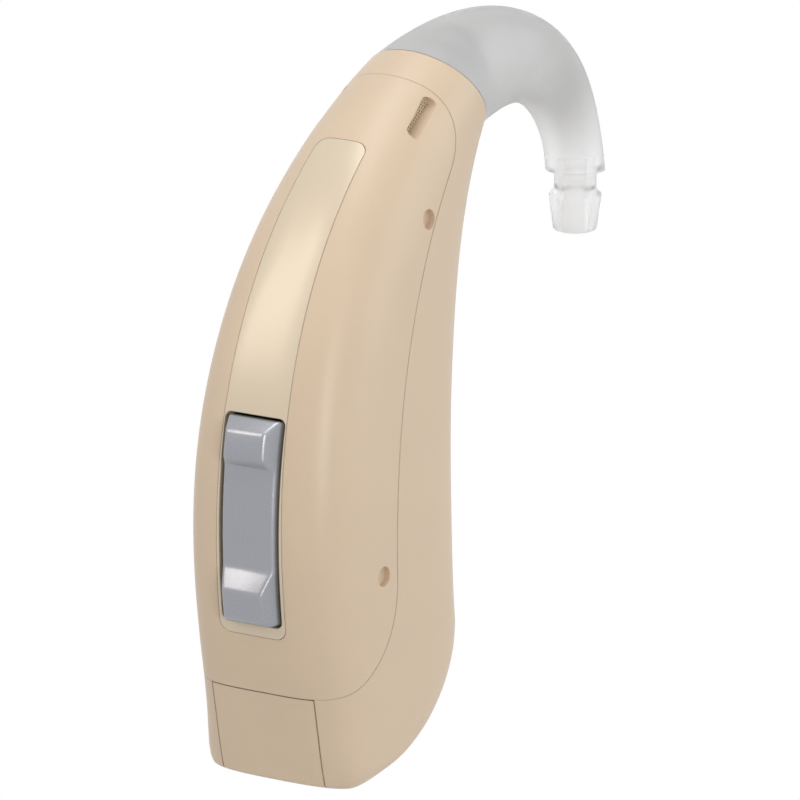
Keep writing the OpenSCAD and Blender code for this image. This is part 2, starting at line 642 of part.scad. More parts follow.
// Receiver in its boot on the ear side of the frame, leaning with the ear side
receiver_low = 2.9;
receiver_gap = 2.3;
receiver_lean = 8;
receiver_foot = board_point(board_t + frame_gap + frame_t / 2 + receiver_gap, receiver_low);
module on_receiver() translate([receiver_foot[0], 0, receiver_foot[1]])
    rotate([0, receiver_lean - rocker_angle, 0]) children();
module receiver() color("#b8babd") place() on_receiver() {
    translate([boot_t, -receiver_w / 2, boot_t]) cube([receiver_t, receiver_w, receiver_l]);
    translate([boot_t + receiver_t / 2, 0, boot_t + receiver_l])
        cylinder(d = bore_d, h = boot_t, $fn = 24);
}
module receiver_boot() color("#3a3a3c") place() on_receiver() difference() {
    translate([0, -receiver_w / 2 - boot_t, 0]) cube([receiver_t + 2 * boot_t, receiver_w + 2 * boot_t,
        receiver_l + 2 * boot_t]);
    translate([boot_t, -receiver_w / 2, boot_t]) cube([receiver_t, receiver_w, receiver_l]);
    translate([boot_t + receiver_t / 2, 0, receiver_l]) cylinder(d = bore_d, h = receiver_l, $fn = 24);
}
rib_t = 0.6;
rib_h = 3;
module receiver_ribs() for (side = [-1, 1]) on_receiver()
    translate([-receiver_gap - frame_t / 2, side * receiver_w / 3 - rib_t / 2, 0])
        cube([receiver_gap + frame_t / 2, rib_t, rib_h]);

// Silicone tube from the receiver to the nozzle
receiver_up = along(rocker_angle + 90 - receiver_lean, 1);
tube_from = receiver_foot - turned(receiver_up) * (boot_t + receiver_t / 2)
    + receiver_up * (receiver_l + 2 * boot_t);
tube_to = seat_mid - nozzle_out * nozzle_root;
tube_steps = 16;
tube_points = 12;
tube_path = [tube_from, tube_from + receiver_up * 2.6, tube_to - nozzle_out * 1.6, tube_to];
function tube_ring(path, t, r, count) = let (p = bezier(path, t), side = turned(unit(bezier_slope(path, t))))
    [for (i = [0:count - 1]) let (q = p - side * (r * cos(360 * i / count)))
        [q[0], r * sin(360 * i / count), q[1]]];
module receiver_tube() color("#e4e6e8") place() difference() {
    skin([for (i = [0:tube_steps]) tube_ring(tube_path, i / tube_steps, sound_tube_d / 2, tube_points)]);
    skin([for (i = [0:tube_steps]) let (t = mix(-0.02, 1.02, i / tube_steps))
        tube_ring(tube_path, t, bore_d / 2, tube_points)]);
}

// Telecoil across the housing under the receiver
telecoil_mid = board_point(board_t + frame_gap + frame_t / 2 + telecoil_d / 2 + fit, 1.3);
module telecoil() color("#b06a3c") place() {
    y_cylinder(telecoil_mid, telecoil_d, telecoil_l * 0.8);
    y_cylinder(telecoil_mid, telecoil_d * 0.7, telecoil_l);
}

// Nozzle that carries the hook, with its seal ring
seal_t = 0.4;
seal_at = 1.2;
groove_depth = 0.25;
module hook_nozzle() color("#c9ccd0") place() on_nozzle() rotate_extrude($fn = 64) polygon([
    [bore_d / 2, -nozzle_root], [flange_d / 2 - fit, -nozzle_root], [flange_d / 2 - fit, -nozzle_flange_at],
    [nozzle_d / 2, -nozzle_flange_at], [nozzle_d / 2, seal_at], [nozzle_d / 2 - groove_depth, seal_at],
    [nozzle_d / 2 - groove_depth, seal_at + seal_t], [nozzle_d / 2, seal_at + seal_t],
    [nozzle_d / 2, nozzle_l - groove_depth], [nozzle_d / 2 - groove_depth, nozzle_l], [bore_d / 2, nozzle_l]]);
module nozzle_seal() color("#3a3a3c") place() on_nozzle() translate([0, 0, seal_at]) difference() {
    cylinder(d = nozzle_d + fit, h = seal_t, $fn = 64);
    translate([0, 0, -overrun]) cylinder(d = nozzle_d - 2 * groove_depth, h = seal_t + 2 * overrun, $fn = 64);
}

// Ear hook: skin between two lines, a socket, a damper seat, the sound bore and the nipple
function hook_ring(t) = let (a = bezier(hook_outer, t), b = bezier(hook_inner, t), reach = (b - a) / 2,
    middle = (a + b) / 2, swell = mix(half_w(1) / (seat_d / 2), 1, min(t * 3, 1)))
    [for (i = [0:hook_points - 1]) let (angle = 360 * i / hook_points, p = middle + reach * cos(angle))
        [p[0], norm(reach) * swell * sin(angle), p[1]]];
// The hook starts a hair above the seat, which shows as the seam there
hook_start = 0.002;
socket_l = nozzle_l + 0.1;
damper_start = seat_mid + nozzle_out * socket_l;
bore_start = damper_start + nozzle_out * (damper_l / 2);
bore_path = [bore_start, bore_start + nozzle_out * (hook_reach * 0.36), tip + [0, hook_reach * 0.4], tip];
nipple_l = neck_l + barb_l;
barb_rise = 0.25;
module nipple() translate([tip[0], 0, tip[1]]) rotate([180, 0, 0]) rotate_extrude($fn = 48) polygon([
    [0, -shoulder_d / 8], [neck_d / 2, -shoulder_d / 8], [neck_d / 2, neck_l],
    [barb_d / 2, neck_l + barb_rise], [nipple_end_d / 2, nipple_l], [0, nipple_l]]);
module ear_hook() color("#d8dadc") place() difference() {
    union() {
        skin([for (i = [0:hook_steps]) hook_ring(mix(hook_start, 1, i / hook_steps))]);
        nipple();
    }
    on_nozzle() translate([0, 0, -overrun])
        cylinder(d = nozzle_d + 2 * nozzle_gap, h = socket_l + overrun, $fn = 48);
    on_nozzle() translate([0, 0, socket_l - fit]) cylinder(d = damper_d, h = damper_l + fit, $fn = 48);
    skin([for (i = [0:tube_steps]) tube_ring(bore_path, i / tube_steps, bore_d / 2, tube_points)]);
    translate([tip[0], 0, tip[1] - nipple_l - overrun]) cylinder(d = bore_d, h = nipple_l + overrun, $fn = 48);
}
module hook_damper() color("#6b6e72") place() on_nozzle() translate([0, 0, socket_l])
    cylinder(d = damper_d, h = damper_l, $fn = 48);

// Small cover over the programming socket on the ear side, with its contacts below
program_s = 0.19;
program_h = 1.7;
program_w = 3.6;
program_t = 0.5;
program_proud = 0.1;
function ear_out(s) = -turned(unit(bezier_slope(ear_rail, s)));
module on_ear_side(s) let (p = bezier(ear_rail, s)) translate([p[0], 0, p[1]])
    rotate([0, -atan2(ear_out(s)[1], ear_out(s)[0]), 0]) children();
module program_space() on_ear_side(program_s) translate([-wall - overrun, -program_w / 2, -program_h / 2])
    cube([wall + 2 * overrun, program_w, program_h]);
module program_cover() color("#cfb79c") place() on_ear_side(program_s)
    translate([-program_t, -program_w / 2 + plate_gap, -program_h / 2 + plate_gap])
        cube([program_t + program_proud - 0.25, program_w - 2 * plate_gap, program_h - 2 * plate_gap]);
contact_count = 3;
contact_size = 0.7;
module program_contacts() color("#d8b45a") place() on_ear_side(program_s) for (i = [0:contact_count - 1])
    translate([-program_t - 0.25, (i - (contact_count - 1) / 2) * 1.1 - contact_size / 2, -contact_size / 2])
        cube([0.2, contact_size, contact_size]);

// Battery contacts: thin springs from the bulkhead down each flat side of the cell
leaf_t = 0.12;
leaf_w = 1.4;
leaf_low = battery_h + 1.5;
leaf_y = (battery_t / 2 + slot_w / 2) / 2;
leaf_foot = 1;
module battery_contact(side) translate([-leaf_w / 2, side * leaf_y - leaf_t / 2, leaf_low])
    cube([leaf_w, leaf_t, bulkhead_h - frame_t / 2 - leaf_low]);
module contact_foot(side) translate([-leaf_w / 2, side > 0 ? leaf_y - leaf_foot : -leaf_y,
    bulkhead_h - frame_t / 2 - leaf_t]) cube([leaf_w, leaf_foot, leaf_t]);
module battery_contact_positive() color("#d8b45a") place() {
    battery_contact(-1);
    contact_foot(-1);
}
module battery_contact_negative() color("#d8b45a") place() {
    battery_contact(1);
    contact_foot(1);
}

// Battery door: the outer skin between the cheeks, a cradle for the cell and the knuckle
hinge_pin_l = 7;
cradle_gap = 0.05;
module battery_door() color("#cbb094") place() difference() {
    union() {
        intersection() {
            housing_solid();
            across_y(door_w) difference() {
                door_outline(seam_gap);
                translate([hinge_reach - knuckle_d / 2 - door_gap, hinge_h]) square([housing_d, housing_d]);
            }
        }
        y_cylinder(hinge_axis, knuckle_d, door_w);
    }
    y_cylinder(battery_axis, battery_d + 2 * cradle_gap, door_w + overrun);
    y_cylinder(hinge_axis, hinge_pin_d + 2 * fit, door_w + overrun);
}
module door_hinge_pin() color("#c8ccd0") place() y_cylinder(hinge_axis, hinge_pin_d, hinge_pin_l);

// The cell: can, insulating grommet and cap
can_edge = 0.3;
grommet_t = 0.25;
module on_battery() translate([battery_axis[0], battery_t / 2, battery_axis[1]]) rotate([90, 0, 0]) children();
module battery_can() color("#c9cbce") place() on_battery() rotate_extrude($fn = 72) polygon([
    [0, cap_t], [cap_d / 2 + grommet_t, cap_t], [cap_d / 2 + grommet_t, can_edge], [battery_d / 2 - can_edge, can_edge],
    [battery_d / 2, 2 * can_edge], [battery_d / 2, battery_t - can_edge], [battery_d / 2 - can_edge, battery_t],
    [0, battery_t]]);
module battery_grommet() color("#4c8fb8") place() on_battery() rotate_extrude($fn = 72) polygon([
    [cap_d / 2, can_edge / 2], [cap_d / 2 + grommet_t, can_edge], [cap_d / 2 + grommet_t, cap_t],
    [cap_d / 2, cap_t]]);
module battery_cap() color("#d6d8da") place() on_battery() rotate_extrude($fn = 72) polygon([
    [0, 0], [cap_d / 2 - can_edge / 2, 0], [cap_d / 2, can_edge / 2], [cap_d / 2, cap_t], [0, cap_t]]);

back_cover();
front_housing();
control_plate();
rocker();
rocker_pin();
switch_carrier();
switch_domes();
microphone_screen_left();
microphone_screen_right();
front_microphone();
rear_microphone();
front_microphone_boot();
rear_microphone_boot();
inner_frame();
circuit_board();
signal_processor();
memory_chip();
telecoil();
receiver();
receiver_boot();
receiver_tube();
hook_nozzle();
nozzle_seal();
ear_hook();
hook_damper();
upper_cross_pin();
lower_cross_pin();
program_cover();
program_contacts();
battery_contact_positive();
battery_contact_negative();
battery_door();
door_hinge_pin();
battery_can();
battery_grommet();
battery_cap();
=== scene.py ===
import json
import math

import bpy
import numpy as np
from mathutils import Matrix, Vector
from mathutils.bvhtree import BVHTree


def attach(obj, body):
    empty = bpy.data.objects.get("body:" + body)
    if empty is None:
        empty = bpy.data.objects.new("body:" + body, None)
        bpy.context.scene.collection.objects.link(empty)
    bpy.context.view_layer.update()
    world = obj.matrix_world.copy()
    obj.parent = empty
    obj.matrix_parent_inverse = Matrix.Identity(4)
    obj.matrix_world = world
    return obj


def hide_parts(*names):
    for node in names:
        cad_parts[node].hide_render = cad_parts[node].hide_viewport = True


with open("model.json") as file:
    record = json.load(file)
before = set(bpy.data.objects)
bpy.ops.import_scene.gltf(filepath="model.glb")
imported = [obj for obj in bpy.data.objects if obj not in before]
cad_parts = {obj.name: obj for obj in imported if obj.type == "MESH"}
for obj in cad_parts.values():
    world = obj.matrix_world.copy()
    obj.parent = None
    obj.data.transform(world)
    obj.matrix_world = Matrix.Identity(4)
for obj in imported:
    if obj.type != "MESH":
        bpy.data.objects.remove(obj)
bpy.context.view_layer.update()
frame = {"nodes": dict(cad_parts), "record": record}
MM = 0.001

# Sizes are in mm and angles in degrees, as in the part's source. A pair is X and Z in the middle plane.

# Housing: two rails carry its sections, the spine at the back and the ear side in front
HOUSING_W = 9.4
HOUSING_D = 12.75
WALL = 0.75
SETBACK = 5.3  # from the cell's middle back to the spine's foot
HEEL_H = 5.35  # height of both rails' feet
SPINE_LEAN = 12.2  # backwards from upright at the foot
SPINE_ARRIVAL = 24.9  # rise where the rail meets the seat
SPINE_PULL = (0.506, 0.318)  # handles of the curve, as shares of its chord
EAR_LEAN = 10.7
EAR_ARRIVAL = 57.3
EAR_PULL = (0.297, 0.28)
WIDTHS = (1, 1.006, 0.936, 0.834, 0.7085)  # shares of the width, evenly from foot to seat
EXPONENTS = (4.2, 4, 3.4, 2.6, 2.05)  # squareness of the sections, where 2 is an ellipse

# Underside of the housing
TOE_H = 0.35  # the spine's lower edge is rounded over this height
TOE_RUN = 1.9
CHEEK_R = 1.3
ROUND_H = 2.4  # below this height the sections lose up to ROUND_LOSS of their squareness
ROUND_LOSS = 1.6
HEEL_CURVE_H = 6.25  # quarter ellipse of the heel
HEEL_CURVE_D = 9.15
HEEL_INSET = 0.2
HEEL_RISE = 0.45
HEEL_TOE_H = 0.65

# Seam between back cover and front housing
SEAM_GAP = 0.055
SEAM_SHARE = 0.46  # of the depth, from the spine
SEAM_END = 0.935  # of the rails
SEAM_LOW_R = 5.4
SEAM_HIGH_R = 3.4
LIP_INSET = 0.35  # from the skin down to the cover's lip
LIP_GAP = 0.006  # between the lip and the front housing
LIP_ENDS = (-0.04, 0.93)
CAVITY_ENDS = (0.05, 0.92)

# Control plate and the rocker's opening, with ends as shares of the spine
PLATE_W = 3.9
PLATE_TOP_W = 2.9
PLATE_T = 0.4
PLATE_GAP = 0.02
PLATE_R = 0.6
PLATE_TAPER = 1.5
PLATE_START = 0.057
PLATE_END = 0.785
OPEN_START = 0.07
OPEN_END = 0.332
OPEN_DEPTH = 1.4
OPEN_R = 0.35

# Rocker; its profile holds shares of its length and of the rise from waist to pad
ROCKER_W = 3.3
ROCKER_GAP = 0.13
ROCKER_DEPTH = 0.8
ROCKER_SHOULDER = 0.25
ROCKER_LEAN = 0.5  # the sides come in by this share of their height
ROCKER_EDGE = 0.13
ROCKER_EDGE_STEPS = 5
ROCKER_RIDGE = 20  # angle from which a ridge is rounded
PAD_RISE = 0.8
WAIST_RISE = 0.15
ROCKER_PROFILE = ((0, 0.3), (0.0144, 0.66), (0.0385, 0.88), (0.139, 1), (0.154, 0.985), (0.168, 0.88),
                  (0.245, 0.06), (0.264, 0), (0.38, 0), (0.5, 0), (0.62, 0), (0.726, 0), (0.74, 0.08),
                  (0.7885, 0.94), (0.803, 1), (0.86, 1), (0.9135, 1), (0.928, 0.97), (0.9856, 0.1), (1, -0.15))
PIVOT_S = 0.19
PIVOT_DEPTH = 0.95
BOSS_R = 0.6
PIVOT_BORE_R = 0.32
ROOM_DEPTH = 2.6  # rooms behind the rocker, from its pivot inwards
ROOM_HALF_W = 2.34
SWITCH_ROOM = (0.48, 2.52)  # where a room starts, and half its height
CARRIER_EARS_ROOM = (-0.52, 0.52)

# Microphone slots, their screens, and the holes of the cross pins
PORT_S = 0.8725
PORT_ANGLE = 134  # round the section, from the ear side
PORT_STEP = 0.005
PORT_L = 2.6
PORT_W = 0.58
PORT_FLOOR = 1.4  # from the middle plane
SCREEN_SHIFT = 0.44
SCREEN_T = 0.15
SCREEN_GAP = 0.02
HOLE_D = 0.12
HOLE_PITCH = 0.17
HOLE_COLUMNS = 13
HOLE_ROWS = 3
# Near-black sheet behind each screen: painted shade of the port's inside, seen through the holes
SHADE_SHEET_T = 0.06
SHADE_SHEET_GAP = 0.05
PIN_HOLE_R = 0.5
LOWER_PIN = (0.144, 0.37)  # shares of the rails and of the depth
UPPER_PIN = (0.716, 0.4)

# Battery door
BATTERY = np.array([0.0, 4.9])
BATTERY_D = 7.9
BAY_GAP = 0.18
CELL_GAP = 0.05
HINGE = np.array([3.9, 2.6])
HINGE_PIN_D = 0.8
HINGE_PLAY = 0.02
HINGE_HALF_W = 3.5
KNUCKLE_D = 1.9
DOOR_W = 6.0
DOOR_GAP = 0.06
DOOR_TOP = 5.02
SWING_END = 300

# Cover over the programming contacts, on the ear side
PROGRAM_S = 0.19
PROGRAM_DEPTH = 1.75
PROGRAM_HALF_H = 0.85
PROGRAM_HALF_W = 1.8

# Seat, nozzle and ear hook
SEAT_MID = np.array([9.6, 32.65])
SEAT_D = 6.0
SEAT_LEAN = 52.4  # the seat falls this steeply towards the ear
NOZZLE_RISE = 30
NOZZLE_R = 1.5
FLANGE_R = 2.0
FLANGE_BACK = 2.4  # both ends of the flange lie behind the seat
FLANGE_FRONT = 1.9
HOOK_START = 0.002  # share of the hook's curve where it leaves the seat
HOOK_REACH = 13.93
HOOK_DROP = 6.58
HOOK_OUT_RISE = 18.7
HOOK_IN_RISE = 13.4
HOOK_ARRIVAL = -82
HOOK_OUT_PULL = (0.677, 0.607)  # handles of the curve, as shares of the reach
HOOK_IN_PULL = (0.424, 0.322)
HOOK_WIDE_SHARE = 1 / 3  # from here on the hook is as wide as it is deep
SHOULDER_D = 3.1
# radius and depth below the shoulder, from inside the hook down to the open end
NIPPLE = ((1.1, -0.4), (1.1, 0.98), (1.14, 1.05), (1.33, 1.24), (1.37, 1.32), (1.36, 1.42), (1.14, 3.05),
          (1.06, 3.17), (0.98, 3.2))
SOCKET_R = 1.55
SOCKET_L = 2.5
DAMPER_R = 0.85
DAMPER_START = 2.45
DAMPER_END = 3.4
BORE_R = 0.625
BORE_START = 2.95
BORE_PULL = (0.36, 0.4)
BORE_END = 4.2

# Tools that cut reach past the piece by OVERRUN, SIDE_REACH or FAR, and into the next tool by JOIN
OVERRUN = 1.0
SIDE_REACH = 6.0
FAR = 20.0
JOIN = 0.02


def along(deg, length=1.0):
    return np.array([math.cos(math.radians(deg)), math.sin(math.radians(deg))]) * length


def circle(count):
    """Cosine and sine of evenly spaced directions."""
    return [(math.cos(2 * math.pi * i / count), math.sin(2 * math.pi * i / count)) for i in range(count)]


def unit(v):
    return v / np.linalg.norm(v)


def mix(a, b, share):
    return a + (b - a) * share


def turned(v):
    return np.array([-v[1], v[0]])


def rail(start, leaves, pull, end, arrives, hold):
    """Bezier points of a curve that leaves its start and arrives at its end in these directions."""
    return [start, start + along(leaves, pull), end - along(arrives, hold), end]


def bezier(p, t):
    return (1 - t) ** 3 * p[0] + 3 * (1 - t) ** 2 * t * p[1] + 3 * (1 - t) * t * t * p[2] + t ** 3 * p[3]


def bezier_slope(p, t):
    return 3 * (1 - t) ** 2 * (p[1] - p[0]) + 6 * (1 - t) * t * (p[2] - p[1]) + 3 * t * t * (p[3] - p[2])


SEAT_BACK = SEAT_MID - along(-SEAT_LEAN, SEAT_D / 2)
SEAT_FRONT = SEAT_MID + along(-SEAT_LEAN, SEAT_D / 2)
SPINE_FOOT = np.array([-SETBACK, HEEL_H])
EAR_FOOT = np.array([HOUSING_D - SETBACK, HEEL_H])
SPINE_CHORD = np.linalg.norm(SEAT_BACK - SPINE_FOOT)
EAR_CHORD = np.linalg.norm(SEAT_FRONT - EAR_FOOT)
SPINE = rail(SPINE_FOOT, 90 + SPINE_LEAN, SPINE_CHORD * SPINE_PULL[0],
             SEAT_BACK, SPINE_ARRIVAL, SPINE_CHORD * SPINE_PULL[1])
EAR = rail(EAR_FOOT, 90 + EAR_LEAN, EAR_CHORD * EAR_PULL[0],
           SEAT_FRONT, EAR_ARRIVAL, EAR_CHORD * EAR_PULL[1])
NOZZLE = along(NOZZLE_RISE)
TIP = SEAT_MID + np.array([HOOK_REACH, -HOOK_DROP])
SHOULDER = np.array([SHOULDER_D / 2, 0])
HOOK_OUT = rail(SEAT_BACK, HOOK_OUT_RISE, HOOK_REACH * HOOK_OUT_PULL[0],
                TIP + SHOULDER, HOOK_ARRIVAL, HOOK_REACH * HOOK_OUT_PULL[1])
HOOK_IN = rail(SEAT_FRONT, HOOK_IN_RISE, HOOK_REACH * HOOK_IN_PULL[0],
               TIP - SHOULDER, HOOK_ARRIVAL, HOOK_REACH * HOOK_IN_PULL[1])


# Sections of the housing: s runs from -1 at the underside through 0 at the rails' feet to 1 at the seat
def station(values, i):
    if i < 0:
        return 2 * values[0] - values[1]
    if i > len(values) - 1:
        return 2 * values[-1] - values[-2]
    return values[i]


def spread(values, t):
    """Smooth curve through evenly spaced values."""
    x = min(max(t, 0), 1) * (len(values) - 1)
    i = min(int(x), len(values) - 2)
    f = x - i
    a, b, c, d = (station(values, i + k) for k in (-1, 0, 1, 2))
    return (2 * b + (c - a) * f + (2 * a - 5 * b + 4 * c - d) * f * f + (3 * b - a - 3 * c + d) * f ** 3) / 2


def edge_loss(z, r):
    """How far a round edge of radius r draws back at distance z from its end."""
    return r - math.sqrt(r * r - (r - z) ** 2) if z < r else 0.0


def heel_limit(z):
    start = HOUSING_D - SETBACK - HEEL_INSET - HEEL_CURVE_D
    up = max(0, HEEL_CURVE_H + HEEL_RISE - max(z, HEEL_TOE_H)) / HEEL_CURVE_H
    return start + HEEL_CURVE_D * math.sqrt(max(0, 1 - up ** 2)) * min(1, z / HEEL_TOE_H)


def spine_at(s):
    if s >= 0:
        return bezier(SPINE, s)
    z = HEEL_H * (1 + s)
    return np.array([SPINE_FOOT[0] + (HEEL_H - z) * math.tan(math.radians(SPINE_LEAN))
                     + edge_loss(z / TOE_H, 1) * TOE_RUN, z])


def ear_at(s):
    if s >= 0:
        p = bezier(EAR, s)
    else:
        z = HEEL_H * (1 + s)
        p = np.array([EAR_FOOT[0] + (HEEL_H - z) * math.tan(math.radians(EAR_LEAN)), z])
    if p[1] < HEEL_CURVE_H + HEEL_RISE:
        p = np.array([min(p[0], heel_limit(p[1])), p[1]])
    return p


def half_w(s):
    return HOUSING_W / 2 * spread(WIDTHS, s) - (edge_loss(HEEL_H * (1 + s), CHEEK_R) if s < 0 else 0)


def at(s, share):
    return mix(spine_at(s), ear_at(s), share)


def across(s):
    return unit(ear_at(s) - spine_at(s))


def depth_at(s):
    return np.linalg.norm(ear_at(s) - spine_at(s))


def spine_out(s):
    return turned(unit(bezier_slope(SPINE, s)))


def off_spine(s, rise):
    return bezier(SPINE, s) + spine_out(s) * rise


def spine_speed(s):
    return np.linalg.norm(bezier_slope(SPINE, s))


def shift_s(s, distance):
    """Share of the spine at this distance in mm from share s."""
    return s + distance / spine_speed(s)


def exponent(s):
    low = max(0, 1 - HEEL_H * (1 + s) / ROUND_H)
    return spread(EXPONENTS, s) - ROUND_LOSS * low * low


def section(s, inset=0.0):
    """Middle, half depth, half width and squareness of the housing's section."""
    a, b = spine_at(s) + across(s) * inset, ear_at(s) - across(s) * inset
    return (a + b) / 2, (b - a) / 2, half_w(s) - inset, exponent(s)


def squared(v, n):
    return math.copysign(abs(v) ** (2 / n), v) if abs(v) > 1e-9 else 0.0


def section_point(shape, c, q):
    """Point of a section in the direction with cosine c and sine q, from the ear side round to the spine."""
    middle, reach, wide, n = shape
    p = middle + reach * squared(c, n)
    return p[0], wide * squared(q, n), p[1]


def section_ring(s, inset, count):
    shape = section(s, inset)
    return [section_point(shape, c, q) for c, q in circle(count)]


# The part's source sets the middle of its box at X = 0, as found from these samples
SPINE_SAMPLES = 24
HOOK_SAMPLES = 26
low_x = min(spine_at(i / SPINE_SAMPLES)[0] for i in range(SPINE_SAMPLES + 1))
high_x = max(bezier(curve, i / HOOK_SAMPLES)[0]
             for curve in (HOOK_OUT, HOOK_IN) for i in range(HOOK_SAMPLES + 1))
SHIFT = -(low_x + high_x) / 2


# Making and cutting meshes
def link_mesh(name, verts, faces):
    """Object from points in metres."""
    mesh = bpy.data.meshes.new(name)
    mesh.from_pydata(verts, [], faces)
    mesh.validate()
    mesh.update()
    obj = bpy.data.objects.new(name, mesh)
    bpy.context.scene.collection.objects.link(obj)
    return obj


def new_object(name, verts, faces):
    """Object from points in the mm of the part's source."""
    return link_mesh(name, [((x + SHIFT) * MM, y * MM, z * MM) for x, y, z in verts], faces)


def loft(name, rings):
    """Closed skin over rings that turn right-handed about the way they run."""
    n, last = len(rings[0]), len(rings) - 1
    verts = [p for ring in rings for p in ring]
    faces = [(i * n + j, i * n + (j + 1) % n, (i + 1) * n + (j + 1) % n, (i + 1) * n + j)
             for i in range(last) for j in range(n)]
    faces.append(tuple(range(n - 1, -1, -1)))
    faces.append(tuple(last * n + j for j in range(n)))
    return new_object(name, verts, faces)


def prism(name, outline, y0, y1):
    """Side outline in X and Z drawn out across Y."""
    area = sum(a[0] * b[1] - b[0] * a[1] for a, b in zip(outline, outline[1:] + outline[:1]))
    pts = outline if area > 0 else outline[::-1]
    n = len(pts)
    verts = [(p[0], y0, p[1]) for p in pts] + [(p[0], y1, p[1]) for p in pts]
    faces = [tuple(range(n)), tuple(range(2 * n - 1, n - 1, -1))]
    faces += [(j, n + j, n + (j + 1) % n, (j + 1) % n) for j in range(n)]
    return new_object(name, verts, faces)


def band(name, outline, half):
    """Side outline drawn out by half its width to either side of the middle plane."""
    return prism(name, outline, -half, half)


def cross_cylinder(name, centre, r, half, count=64):
    return band(name, [tuple(centre + along(360 * i / count, r)) for i in range(count)], half)


def box_outline(origin, run, start, end, half):
    """Rectangle from start to end along a run, and half its height to either side."""
    side = turned(run) * half
    return [tuple(origin + run * start - side), tuple(origin + run * end - side),
            tuple(origin + run * end + side), tuple(origin + run * start + side)]


def round_ring(middle, run, r, count):
    side = turned(run)
    return [(middle[0] - side[0] * r * c, r * q, middle[1] - side[1] * r * c) for c, q in circle(count)]


def nozzle_cylinder(name, r, start, end, count=56):
    """Cylinder on the nozzle's axis, measured from the seat outwards."""
    return loft(name, [round_ring(SEAT_MID + NOZZLE * d, NOZZLE, r, count) for d in (start, end)])


def tube(name, path, r, count=28, steps=40):
    return loft(name, [round_ring(bezier(path, i / steps), unit(bezier_slope(path, i / steps)), r, count)
                       for i in range(steps + 1)])


def turned_down(name, middle, profile, count=72):
    """Turned shape on an upright axis; its profile holds pairs of radius and depth below the middle."""
    down = np.array([0, -1])
    return loft(name, [round_ring(middle + down * depth, down, r, count) for r, depth in profile])


def round_ends(length, width, count=24):
    """Outline with round ends about its own middle."""
    return [tuple(along(-90 * side + 180 * i / count, width / 2) + np.array([side * (length - width) / 2, 0]))
            for side in (1, -1) for i in range(count + 1)]


def apply_modifiers(obj):
    deps = bpy.context.evaluated_depsgraph_get()
    old = obj.data
    obj.data = bpy.data.meshes.new_from_object(obj.evaluated_get(deps))
    obj.modifiers.clear()
    bpy.data.meshes.remove(old)


def cut(target, tool, operation="DIFFERENCE"):
    mod = target.modifiers.new("cut", "BOOLEAN")
    mod.operation, mod.object, mod.solver = operation, tool, "MANIFOLD"
    apply_modifiers(target)
    bpy.data.objects.remove(tool)
    return target


def copy_of(obj, name):
    other = obj.copy()
    other.data = obj.data.copy()
    other.name = name
    bpy.context.scene.collection.objects.link(other)
    return other


# Shading: what is cut from the housing's skin keeps the skin's own smooth normals
CAP_SIDES = 8  # a face of the skin with at least so many sides is an end cap
SKIN_REACH = 0.032
SKIN_AGREEMENT = 0.9
ROCKER_CREASE = 32  # angles from which an edge stays sharp
HOOK_CREASE = 28


def skin_lookup(skin):
    """Search tree of a fine skin, and a function that gives its smooth normal nearest to a place."""
    mesh = skin.data
    verts = [v.co.copy() for v in mesh.vertices]
    polys = [tuple(p.vertices) for p in mesh.polygons if len(p.vertices) < CAP_SIDES]
    tree = BVHTree.FromPolygons(verts, polys)
    soft = [Vector((0, 0, 0)) for _ in verts]
    for p in mesh.polygons:
        if len(p.vertices) < CAP_SIDES:
            for v in p.vertices:
                soft[v] += p.normal * p.area
    soft = [v.normalized() if v.length > 0 else v for v in soft]

    def normal_at(co):
        index = tree.find_nearest(co)[2]
        total = Vector((0, 0, 0))
        for v in polys[index]:
            total += soft[v] / (1e-9 + (verts[v] - co).length)
        return total.normalized()
    return tree, normal_at


def smooth_skin(obj):
    """Faces that lie on the housing's skin take its smooth normals; the others stay as cut."""
    mesh = obj.data
    mesh.polygons.foreach_set("use_smooth", [True] * len(mesh.polygons))
    normals = [(0, 0, 0)] * len(mesh.loops)
    for poly in mesh.polygons:
        place, normal, _, distance = skin_tree.find_nearest(poly.center)
        on_skin = (place is not None and distance < SKIN_REACH * MM
                   and abs(normal.dot(poly.normal)) > SKIN_AGREEMENT)
        for loop in poly.loop_indices:
            co = mesh.vertices[mesh.loops[loop].vertex_index].co
            normals[loop] = tuple(skin_normal(co) if on_skin else poly.normal)
    mesh.normals_split_custom_set(normals)
    return obj


def angle_smooth(obj, degrees):
    mesh = obj.data
    mesh.polygons.foreach_set("use_smooth", [True] * len(mesh.polygons))
    mesh.set_sharp_from_angle(angle=math.radians(degrees))
    return obj


# Materials
def linear(hex_code):
    out = []
    for i in (0, 2, 4):
        c = int(hex_code[i:i + 2], 16) / 255
        out.append(c / 12.92 if c <= 0.04045 else ((c + 0.055) / 1.055) ** 2.4)
    return (*out, 1.0)


def feed(node, inputs):
    """Gives each input, by its name or place, a value or a link from another node's output."""
    for key, value in inputs.items():
        if isinstance(value, bpy.types.NodeSocket):
            node.id_data.links.new(value, node.inputs[key])
        else:
            node.inputs[key].default_value = value


def add_node(tree, kind, inputs=None, **settings):
    node = tree.nodes.new(kind)
    for key, value in settings.items():
        setattr(node, key, value)
    feed(node, inputs or {})
    return node


GRAIN_HEIGHT = 0.02
GRAIN_SHEEN = 0.04  # the grain changes the roughness by this much
CLOUD_SIZE = 3.85  # width of the slow changes of tone in a moulding
SKIN_DEPTHS = (1.0, 0.7, 0.5)  # how far red, green and blue light go into the beige plastic
SKIN_SCALE = 0.6
NOISE_RANGE = {"From Min": 0.3, "From Max": 0.7}


